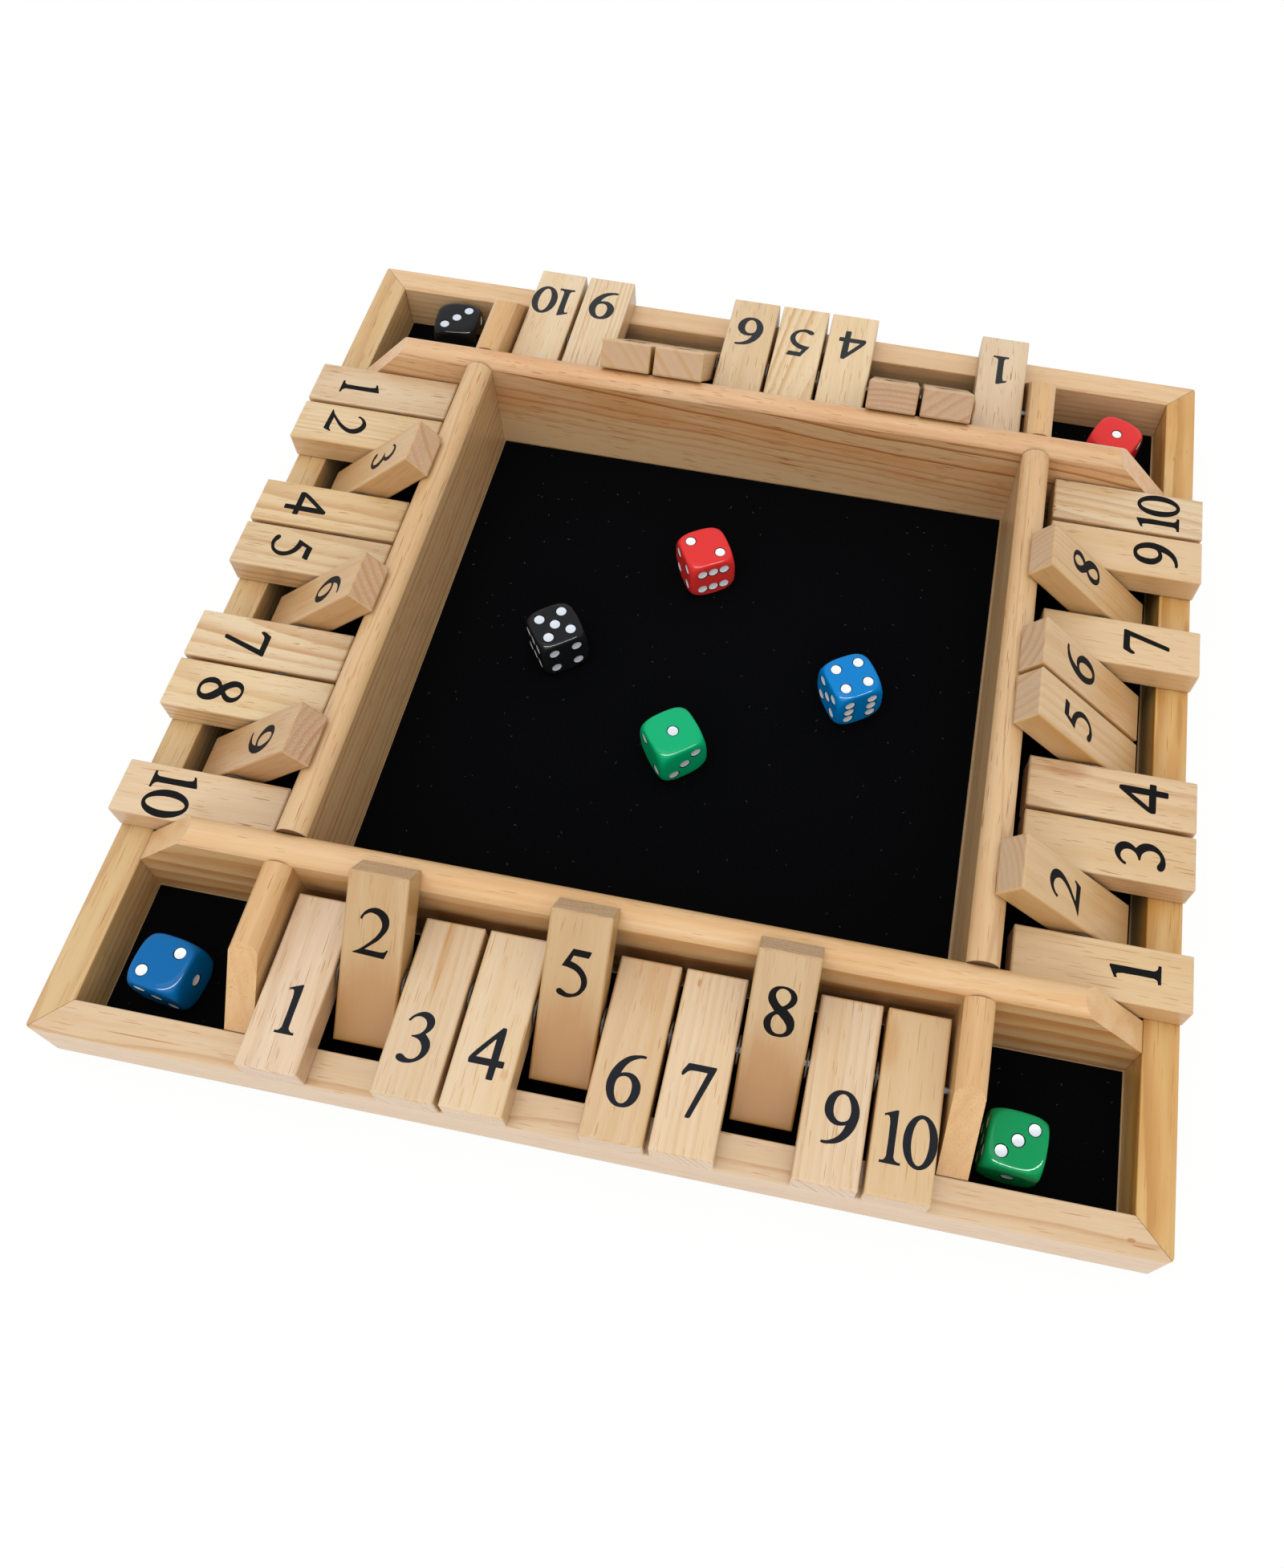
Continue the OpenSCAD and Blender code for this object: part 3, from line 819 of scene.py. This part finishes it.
# %% Number outlines
C = "corner"               # marks a point where the outline turns sharply
HEIGHT_OF_FIGURE = 139     # tenths of a millimetre
ONE = [(-26, 118, C), (-16, 120), (-11, 108), (-10, 90), (-10, 30), (-11, 16), (-17, 8), (-26, 7, C),
       (-26, 0, C), (27, 0, C), (27, 7, C), (18, 8), (10, 16), (9, 30), (9, 90), (9, 137, C),
       (4, 137, C), (-26, 124, C)]
TWO = [(-39, 100), (-34, 99, C), (-31, 108), (-23, 116), (-12, 121), (-3, 120), (8, 115), (17, 104),
       (21, 90), (19, 79), (11, 63), (-2, 46), (-19, 29), (-36, 14), (-53, 4, C), (-53, 2, C),
       (34, -2, C), (39, 10), (44, 24, C), (40, 25, C), (35, 19), (26, 16), (10, 16), (-20, 17, C),
       (-4, 31), (14, 47), (27, 64), (37, 82), (40, 97), (38, 112), (30, 125), (16, 134),
       (2, 137), (-12, 134), (-25, 126), (-34, 115)]
THREE = [(-36, 110), (-31, 110, C), (-26, 118), (-18, 124), (-8, 126), (3, 123), (11, 115), (14, 104),
         (11, 92), (3, 82), (-8, 76), (-16, 74, C), (-17, 70, C), (-8, 69), (4, 65), (14, 55),
         (19, 40), (16, 26), (8, 16), (-3, 12), (-14, 14), (-24, 20), (-32, 21), (-39, 17), (-40, 10),
         (-35, 4), (-24, 0), (-9, 0), (6, 4), (22, 14), (34, 28), (39, 44), (38, 58), (32, 70),
         (24, 78), (18, 83, C), (27, 93), (33, 106), (33, 118), (27, 130), (16, 138), (3, 141),
         (-10, 138), (-23, 130), (-33, 119)]
FOUR = [(30, 136), (28, 140, C), (19, 140, C), (-44, 56), (-48, 46), (-47, 37, C), (-44, 35, C),
        (10, 35, C), (10, 2, C), (12, 0, C), (26, 0, C), (28, 2, C), (29, 35, C), (45, 35, C),
        (47, 37, C), (47, 51, C), (45, 53, C), (30, 53, C)]
FOUR_EYE = [(10, 106, C), (10, 54, C), (-30, 54, C), (8, 106, C)]
FIVE = [(-10, 137, C), (39, 136, C), (39, 131, C), (34, 118, C), (32, 117, C), (-7, 118, C),
        (-13, 102, C), (2, 97), (17, 88), (30, 73), (37, 56), (37, 40), (30, 24), (19, 11), (5, 4),
        (-10, 0), (-25, 2), (-37, 7), (-41, 14), (-38, 20), (-31, 22), (-24, 19), (-14, 13), (-3, 12),
        (9, 16), (18, 26), (22, 41), (20, 56), (13, 68), (2, 77), (-12, 82), (-28, 85), (-35, 85, C),
        (-34, 88, C)]
SIX = [(41, 141), (44, 139), (42, 134, C), (30, 133), (18, 128), (6, 120), (-5, 106), (-13, 87, C),
       (-3, 90), (10, 91), (22, 88), (34, 79), (43, 66), (46, 51), (44, 33), (36, 16), (22, 4), (5, 0),
       (-12, 2), (-28, 13), (-39, 31), (-44, 53), (-41, 78), (-32, 101), (-17, 121), (0, 134),
       (20, 140)]
SIX_EYE = [(2, 80), (12, 76), (20, 65), (23, 49), (21, 31), (14, 16), (4, 10), (-7, 13), (-16, 26),
           (-21, 44), (-21, 60), (-17, 72), (-9, 78)]
SEVEN = [(-43, 108), (-39, 105, C), (-34, 110), (-28, 117), (-20, 121), (-10, 122), (23, 122, C),
         (-13, 4, C), (-12, 0, C), (-2, 0, C), (1, 3, C), (45, 135, C), (44, 140, C), (-28, 140, C),
         (-31, 138, C)]
EIGHT = [(-1, 140), (15, 137), (29, 128), (36, 112), (32, 95), (15, 78, C), (24, 70), (35, 57), (40, 40),
         (38, 23), (29, 9), (15, 2), (0, 0), (-16, 2), (-30, 11), (-39, 27), (-39, 44), (-31, 58),
         (-18, 69, C), (-28, 81), (-37, 95), (-39, 110), (-35, 124), (-24, 135), (-12, 139)]
EIGHT_TOP_EYE = [(-1, 133), (12, 127), (19, 114), (16, 100), (8, 90), (1, 86), (-6, 90), (-15, 101),
                 (-20, 114), (-16, 126), (-9, 132)]
EIGHT_LOW_EYE = [(-9, 61), (2, 54), (14, 42), (21, 27), (17, 15), (5, 9), (-9, 11), (-18, 22), (-21, 37),
                 (-19, 51), (-14, 58)]
print("height of the three, mm:", max(point[1] for point in THREE) / 10)

# %% [markdown]
# Two figures need no outline of their own. The nine is the six turned half
# round, and the nought is an oval inside another, the inner one narrower, which
# gives it thick sides and a thin head and foot.

# %% Nine and nought
ROUND_HEIGHT = 141         # tenths of a millimetre; round figures reach a little past the others
NOUGHT_MIDDLE = 68


def half_turned(outline):
    return [(-p[0], ROUND_HEIGHT - p[1], *p[2:]) for p in outline]


def oval(half_width, half_height, points=16):
    angles = [2 * math.pi * k / points for k in range(points)]
    return [(half_width * math.cos(a), NOUGHT_MIDDLE + half_height * math.sin(a))
            for a in angles]


FIGURES = {"1": [ONE], "2": [TWO], "3": [THREE], "4": [FOUR, FOUR_EYE], "5": [FIVE],
           "6": [SIX, SIX_EYE], "7": [SEVEN], "8": [EIGHT, EIGHT_TOP_EYE, EIGHT_LOW_EYE],
           "9": [half_turned(SIX), half_turned(SIX_EYE)],
           "0": [oval(44, 69), oval(22.5, 59)]}
print("points in all outlines:", sum(len(o) for f in FIGURES.values() for o in f))

# %% [markdown]
# A curve object fills an outline and leaves its inner ones open, so each number
# starts as a flat curve and is then turned into a mesh. The figures of the ten
# stand closer together than two separate ones would.

# %% Flat numbers
TEN_SPREAD = {"1": -34, "0": 37}   # tenths of a millimetre from the middle of the ten
CURVE_STEPS = 5                    # straight pieces between two points of an outline


def number_curve(number):
    curve = bpy.data.curves.new("number_curve", "CURVE")
    curve.dimensions = "2D"
    curve.fill_mode = "BOTH"
    curve.resolution_u = CURVE_STEPS
    figures = str(number)
    for figure in figures:
        shift = TEN_SPREAD[figure] if len(figures) > 1 else 0
        for outline in FIGURES[figure]:
            spline = curve.splines.new("BEZIER")
            spline.bezier_points.add(len(outline) - 1)
            spline.use_cyclic_u = True
            for knot, point in zip(spline.bezier_points, outline):
                knot.co = ((point[0] + shift) * MM / 10, point[1] * MM / 10, 0)
                kind = "VECTOR" if C in point else "AUTO"
                knot.handle_left_type = knot.handle_right_type = kind
    return curve


def number_sheet(number):
    """The number as a flat mesh, its foot on the X axis and its top along +Y."""
    holder = bpy.data.objects.new("number_curve", number_curve(number))
    scene.collection.objects.link(holder)
    bpy.context.view_layer.update()
    drawn = holder.evaluated_get(bpy.context.evaluated_depsgraph_get())
    mesh = bpy.data.meshes.new_from_object(drawn)
    bpy.data.objects.remove(holder)
    return mesh


sheets = {number: number_sheet(number) for number in range(1, 11)}
print("points in the flat numbers:", sum(len(sheet.vertices) for sheet in sheets.values()))

# %% [markdown]
# The figures of three rows look bolder than the front row's, by up to 0.15 mm on
# each side of a stroke. That may be ink that spread, or only how those rows are
# seen. It is matched either way, so every outline is pushed outwards by its
# row's measure. The flat number then gets its thickness: it lies on the wood a
# fiftieth of a millimetre proud and reaches a little way into it.

# %% Ink layers
INK_PROUD = 0.02 * MM
INK_SUNK = 0.03 * MM
WELD = 0.002 * MM
INK_SPREAD_MM = {"front": 0.0, "left": 0.05, "right": 0.12, "rear": 0.15}


def spread_outline(shape, distance):
    """Moves every outline point outwards, which thickens all strokes evenly."""
    push = {v: Vector() for v in shape.verts}
    for edge in shape.edges:
        if edge.is_boundary:
            a, b = edge.verts
            outwards = (b.co - a.co).cross(Z).normalized()
            inside = edge.link_loops[0].link_loop_next.vert.co
            third = edge.link_faces[0].calc_center_median() if inside in (a.co, b.co) else inside
            if outwards.dot(third - a.co) > 0:
                outwards.negate()
            push[a] += outwards
            push[b] += outwards
    for vertex, way in push.items():
        if way.length > 0.5:
            vertex.co += way.normalized() * distance


def ink_layer(sheet, spread):
    """Gives the flat number its thickness, from just in the wood to just above it."""
    shape = bmesh.new()
    shape.from_mesh(sheet)
    bmesh.ops.remove_doubles(shape, verts=shape.verts, dist=WELD)
    spread_outline(shape, spread * MM)
    bmesh.ops.translate(shape, verts=shape.verts, vec=(0, 0, -INK_SUNK))
    top = bmesh.ops.extrude_face_region(shape, geom=shape.faces[:])
    moved = [v for v in top["geom"] if isinstance(v, bmesh.types.BMVert)]
    bmesh.ops.translate(shape, verts=moved, vec=(0, 0, INK_SUNK + INK_PROUD))
    bmesh.ops.recalc_face_normals(shape, faces=shape.faces[:])
    return shape


layers = {(side, number): ink_layer(sheet, spread) for side, spread in INK_SPREAD_MM.items()
          for number, sheet in sheets.items()}
print("ink layers:", len(layers))

# %% [markdown]
# No two prints sit at quite the same place. Each print's offset from the even
# place is listed by row and number, sideways and up. The list was measured with
# a matching program. It also takes up the uneven gaps between real tiles, which
# stand evenly here. The print on the tile's other face uses the same offset,
# which is a guess.

# %% Where each print goes
FOOT_FROM_END = 9.4        # mm from the tile's end to the near edge of the print
PRINT_OFF = {   # tenths of a millimetre sideways and up
    "front": {1: (14, 7), 2: (1, 3), 3: (-5, -3), 4: (6, -4), 5: (0, -4), 6: (2, -5), 7: (3, 2),
              8: (1, 1), 9: (17, 9), 10: (2, -10)},
    "right": {1: (8, -5), 2: (-4, -13), 3: (-2, -6), 4: (4, -9), 5: (-3, -19), 6: (4, -13),
              7: (5, 2), 8: (18, -5), 9: (7, -15), 10: (-7, -16)},
    "rear": {1: (9, 1), 4: (-4, -10), 5: (-3, 14), 6: (1, -5), 9: (7, -25), 10: (1, -8)},
    "left": {1: (10, 2), 2: (-6, 10), 3: (1, -4), 4: (-3, 2), 5: (-6, 15), 6: (6, 18), 7: (4, 9),
             8: (7, 0), 9: (10, -1), 10: (0, -6)}}


def printed_face(tile, front):
    """Places a number on the tile's face: the laid-out one reads from outside the board,
    the other one reads from outside too once the tile is turned in."""
    sideways, rise = PRINT_OFF[tile.side].get(tile.number, (0, 0))
    if front:
        up, normal = -tile.to_number, tile.face
        foot = REACH - FOOT_FROM_END * MM
    else:
        up, normal = tile.to_number, -tile.face
        foot = REACH - (FOOT_FROM_END + HEIGHT_OF_FIGURE / 10) * MM
    right = up.cross(normal)
    place = (tile.rod + tile.to_number * foot + normal * HALF_THICK
             + (right * sideways + up * rise) * MM / 10)
    return Matrix.Translation(place) @ Matrix((right, up, normal)).transposed().to_4x4()


print("prints with an offset:", sum(len(row) for row in PRINT_OFF.values()))

# %% [markdown]
# Printing ink on lacquer is nearly matt, and slightly mottled where the film is
# thin. Its tones are matched row by row to how the figures look where they lie,
# so some of the light on each row is painted in with them.

# %% Ink and prints
MOTTLE_MM = 2 / 3
INK_TONES = {"front": ("#14161A", "#22252B"), "left": ("#0A0A0A", "#151515"),
             "right": ("#080808", "#121212"), "rear": ("#26282A", "#37393C"),
             "turned": ("#070707", "#101010")}


def printing_ink(row):
    material, tree = new_material("printing_ink_" + row)
    mottle = speckle(tree, MOTTLE_MM, 3.0)
    film = add(tree, "BsdfPrincipled", {"Base Color": blended(tree, mottle, *INK_TONES[row]),
                                        "Roughness": between(tree, mottle, 0.3, 0.7, 0.45, 0.6)})
    film.inputs["Specular IOR Level"].default_value = 0.08
    finish_with(tree, film.outputs[0])
    return material


inks = {row: printing_ink(row) for row in INK_TONES}
for tile in TILES:
    mesh = bpy.data.meshes.new(f"number_{tile.side}_{tile.number}")
    both = bmesh.new()
    for front in (True, False):
        copy = layers[tile.side, tile.number].copy()
        copy.transform(printed_face(tile, front))
        part = bpy.data.meshes.new("part")
        copy.to_mesh(part)
        copy.free()
        both.from_mesh(part)
        bpy.data.meshes.remove(part)
    both.to_mesh(mesh)
    both.free()
    mesh.materials.append(inks[tile.side if tile.laid else "turned"])
    print_object = bpy.data.objects.new(mesh.name, mesh)
    scene.collection.objects.link(print_object)
    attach(print_object, tile.node)
print("numbers printed:", 2 * len(TILES))

# %% [markdown]
# ## Dice
# The dice are moulded acrylic, tumbled until edges and corners are round and
# the surface is polished. Polished acrylic is even in colour, with hardly any
# grain, so its detail is a slight waviness and faint rubbing in the gloss.
# The pips are dimples filled with white enamel, each with a dark line round it.
# That line is painted shade: the steep wall of each dimple is drawn in a much
# darker tone. The two dice in the front wells are painted darker than their
# likes in the arena, which is painted shade of the wells.

# %% Dice finish
RUBBING_MM = 20 / 7        # patches of faint rubbing in the polish
BRUSHED_MM = 0.5           # unevenness of the enamel in a pip
POLISH = (0.04, 0.08)      # roughness where it is best and where it is rubbed
# the well dice's darker tones are painted shade of the wells
ACRYLIC = {"red": "#D33130", "black": "#17181A", "blue": "#0278C0", "green": "#07A46B",
           "well_blue": "#02609F", "well_green": "#048B50"}   # painted darker, see above
PIP_TONES = {"red": ("#E3E6EA", "#EDEFF2"), "blue": ("#DDE3E9", "#E7EBEF"),
             "black": ("#C3CCD6", "#D2D9E1"), "green": ("#C4CFD7", "#D1DBE1")}
# the rims' dark tones are painted shade in the dimples' steep walls
RIM = {"red": "#200304", "black": "#010102", "blue": "#010E1A", "green": "#01140C"}


def acrylic(name, hex_colour, shine=0.16):
    material, tree = new_material(name)
    wear = speckle(tree, RUBBING_MM, 4.0)
    ripple = add(tree, "Bump", {"Height": wear, "Strength": 0.12, "Distance": 0.05 * MM})
    shader = add(tree, "BsdfPrincipled",
                 {"Base Color": linear(hex_colour), "Normal": ripple.outputs[0],
                  "Roughness": between(tree, wear, 0.3, 0.7, *POLISH)})
    shader.inputs["IOR"].default_value = 1.49
    shader.inputs["Specular IOR Level"].default_value = shine
    finish_with(tree, shader.outputs[0])
    return material


ACRYLICS = {colour: acrylic("polished_acrylic_" + colour, tone)
            for colour, tone in ACRYLIC.items()}
RIMS = {colour: acrylic("rim_shade_acrylic_" + colour, tone, shine=0.03)
        for colour, tone in RIM.items()}
ENAMELS = {}
for colour, tones in PIP_TONES.items():
    ENAMELS[colour], tree = new_material("white_pip_enamel_" + colour)
    brush = speckle(tree, BRUSHED_MM)
    enamel = add(tree, "BsdfPrincipled", {"Base Color": blended(tree, brush, *tones),
                                          "Roughness": between(tree, brush, 0.3, 0.7, 0.3, 0.45)})
    finish_with(tree, enamel.outputs[0])
print("acrylics:", ACRYLIC)

# %% [markdown]
# A tumbled die is a cube whose edges and corners run into each other without a
# break. One formula gives that: the distance from the middle to the surface in
# any direction, blended from the six flat faces and a ball that takes the
# corners off. The points are a cube's grid pushed out to that distance, packed
# closer near the edges, where the surface bends.

# %% Tumbled die body
low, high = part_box("die_arena_red")
DIE_HALF_MM = (high.z - low.z) / 2 / MM
BALL_MM = 11.7             # the radius at which the corners are taken off
BLEND = 20                 # the higher, the sharper the edges
GRID = 30
PACKING = 0.65             # 0 spaces the grid evenly, 1 packs it closest at the edges
DIE_WELD_MM = 0.001


def tumbled(direction):
    flat = sum(abs(c / DIE_HALF_MM) ** BLEND for c in direction)
    return direction * (flat + (1 / BALL_MM) ** BLEND) ** (-1 / BLEND)


def edge_packed(step):
    s = 2 * step / GRID - 1
    return (1 - PACKING) * s + PACKING * (1.5 * s - 0.5 * s ** 3)


def die_body():
    """Six curved grids, welded along the edges, in millimetres round the middle."""
    shape = bmesh.new()
    for axis in range(3):
        for end in (-1, 1):
            rows = []
            for i in range(GRID + 1):
                spots = [[edge_packed(i), edge_packed(j)] for j in range(GRID + 1)]
                for spot in spots:
                    spot.insert(axis, end)
                rows.append([shape.verts.new(tumbled(Vector(spot).normalized())) for spot in spots])
            for row, after in zip(rows, rows[1:]):
                for j in range(GRID):
                    shape.faces.new((row[j], row[j + 1], after[j + 1], after[j]))
    bmesh.ops.remove_doubles(shape, verts=shape.verts, dist=DIE_WELD_MM)
    bmesh.ops.recalc_face_normals(shape, faces=shape.faces[:])
    return shape


body = die_body()
print("points in a die body:", len(body.verts))

# %% [markdown]
# A die's opposite faces always add up to seven. The pattern of a face is built
# from its middle, its two diagonals and, on a six, the middles of two sides.
# Each dimple is cut with a small turned tool: its floor is the enamel's top,
# and its steep wall is the rim, drawn in a much darker tone as painted shade,
# which shows as a thin dark line.

# %% Dimple cutters
PIP_PITCH_MM = 3.8
TOOL_TIP = -0.35           # depth of the dimple's middle under the die's face, mm
TOOL = [(0.5, -0.34), (1.0, -0.29), (1.45, -0.21), (1.62, -0.16), (1.90, 0.0), (1.95, 0.12),
        (2.0, 0.6)]        # the tool's radius and height, from its tip outwards, mm
TOOL_SIDES = 40
ENAMEL_ROWS = 4            # so many of the tool's rows are floor, and the rest is rim
ENAMEL, SHADED_RIM = 1, 2    # material numbers in a die


def pip_places(value, turned):
    """The places of a face's pips, in pitches; turned gives the pattern a quarter turn."""
    diagonals = [[(-1, -1), (1, 1)], [(-1, 1), (1, -1)]]
    middles = [[(-1, 0), (1, 0)], [(0, -1), (0, 1)]]
    places = [(0, 0)] if value % 2 else []
    if value > 1:
        places += diagonals[turned]
    if value > 3:
        places += diagonals[1 - turned]
    if value == 6:
        places += middles[turned]
    return places


def add_cutter(shape, place, to_side):
    """One turned tool, its tip in the die and its head just outside."""
    def spot(r, z, k):
        angle = 2 * math.pi * k / TOOL_SIDES
        return to_side @ Vector((place[0] * PIP_PITCH_MM + r * math.cos(angle),
                                 place[1] * PIP_PITCH_MM + r * math.sin(angle), DIE_HALF_MM + z))

    rows = [[shape.verts.new(spot(r, z, k)) for k in range(TOOL_SIDES)] for r, z in TOOL]
    tip = shape.verts.new(spot(0, TOOL_TIP, 0))
    for k in range(TOOL_SIDES):
        after = (k + 1) % TOOL_SIDES
        shape.faces.new((tip, rows[0][k], rows[0][after])).material_index = ENAMEL
        for number, (row, wider) in enumerate(zip(rows, rows[1:]), start=1):
            face = shape.faces.new((row[k], wider[k], wider[after], row[after]))
            face.material_index = ENAMEL if number < ENAMEL_ROWS else SHADED_RIM
    shape.faces.new(rows[-1])


print("width of a dimple, mm:", 2 * TOOL[ENAMEL_ROWS][0])

# %% [markdown]
# For every die all 21 tools are one mesh, and a Boolean cuts them at once. Each
# tool's faces keep their material number through the cut, so the enamel comes
# out as faces of the die itself, with no second skin lying on it. A die is
# given by its heading in degrees and by what its top, front and right faces
# show, each with a mark for a pattern that is turned by a quarter.

# %% Cut the dice
SHARP_FROM = 28            # degrees; flatter bends are shaded smooth
DICE = {"die_arena_red": (31.7, (2, 1), (6, 1), (3, 0)),
        "die_arena_black": (37.6, (5, 0), (4, 0), (1, 1)),
        "die_arena_blue": (32.7, (4, 0), (6, 0), (2, 0)),
        "die_arena_green": (39.1, (1, 0), (3, 0), (5, 0)),
        "die_well_blue": (-7, (2, 0), (3, 1), (1, 0)),
        "die_well_green": (-4.9, (3, 0), (1, 0), (2, 0)),
        "die_well_red": (-25, (1, 0), (5, 0), (4, 0)),
        "die_well_black": (5.5, (3, 0), (1, 0), (2, 0))}
TOP = Matrix.Identity(4)
FRONT = Matrix.Rotation(math.radians(90), 4, "X")
RIGHT = Matrix.Rotation(math.radians(90), 4, "Z") @ FRONT
OPPOSITE = Matrix.Scale(-1, 4, Z)


def as_object(shape, name):
    mesh = bpy.data.meshes.new(name)
    shape.to_mesh(mesh)
    piece = bpy.data.objects.new(name, mesh)
    scene.collection.objects.link(piece)
    return piece


def dimpled_mesh(name, faces):
    """A die's mesh in millimetres, with its dimples cut and its materials in place."""
    tools = bmesh.new()
    for (value, turned), side in zip(faces, (TOP, FRONT, RIGHT)):
        for place in pip_places(value, turned):
            add_cutter(tools, place, side)
        for place in pip_places(7 - value, turned):
            add_cutter(tools, place, side @ OPPOSITE)
    bmesh.ops.recalc_face_normals(tools, faces=tools.faces[:])
    blank, cutter = as_object(body, "die_blank"), as_object(tools, "dimple_tools")
    tools.free()
    colour, place_and_colour = name.split("_")[-1], name.split("die_")[-1]
    acrylic_of_die = ACRYLICS.get(place_and_colour, ACRYLICS[colour])
    for piece in (blank, cutter):
        for material in (acrylic_of_die, ENAMELS[colour], RIMS[colour]):
            piece.data.materials.append(material)
    cut = blank.modifiers.new("dimples", "BOOLEAN")
    cut.operation, cut.solver, cut.object = "DIFFERENCE", "EXACT", cutter
    bpy.context.view_layer.update()
    finished = blank.evaluated_get(bpy.context.evaluated_depsgraph_get())
    mesh = bpy.data.meshes.new_from_object(finished)
    for piece in (blank, cutter):
        bpy.data.objects.remove(piece)
    mesh.name = name
    return mesh


print("dimples in a die:", sum(len(pip_places(value, 0)) for value in range(1, 7)))

# %% [markdown]
# Each die takes the place of its plain solid in the frame and rides on the same
# body. It also joins the group that the gloss card lights.

# %% Place the dice
for die, (heading, *faces) in DICE.items():
    mesh = dimpled_mesh("tumbled_" + die, faces)
    low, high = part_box(die)
    turn = Matrix.Rotation(math.radians(heading), 4, "Z")
    mesh.transform(Matrix.Translation((low + high) / 2) @ turn @ Matrix.Scale(MM, 4))
    mesh.polygons.foreach_set("use_smooth", [True] * len(mesh.polygons))
    mesh.set_sharp_from_angle(angle=math.radians(SHARP_FROM))
    piece = bpy.data.objects.new(mesh.name, mesh)
    scene.collection.objects.link(piece)
    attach(piece, die)
    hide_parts(die)
    polished.objects.link(piece)
    print(die, "faces:", len(mesh.polygons))
body.free()
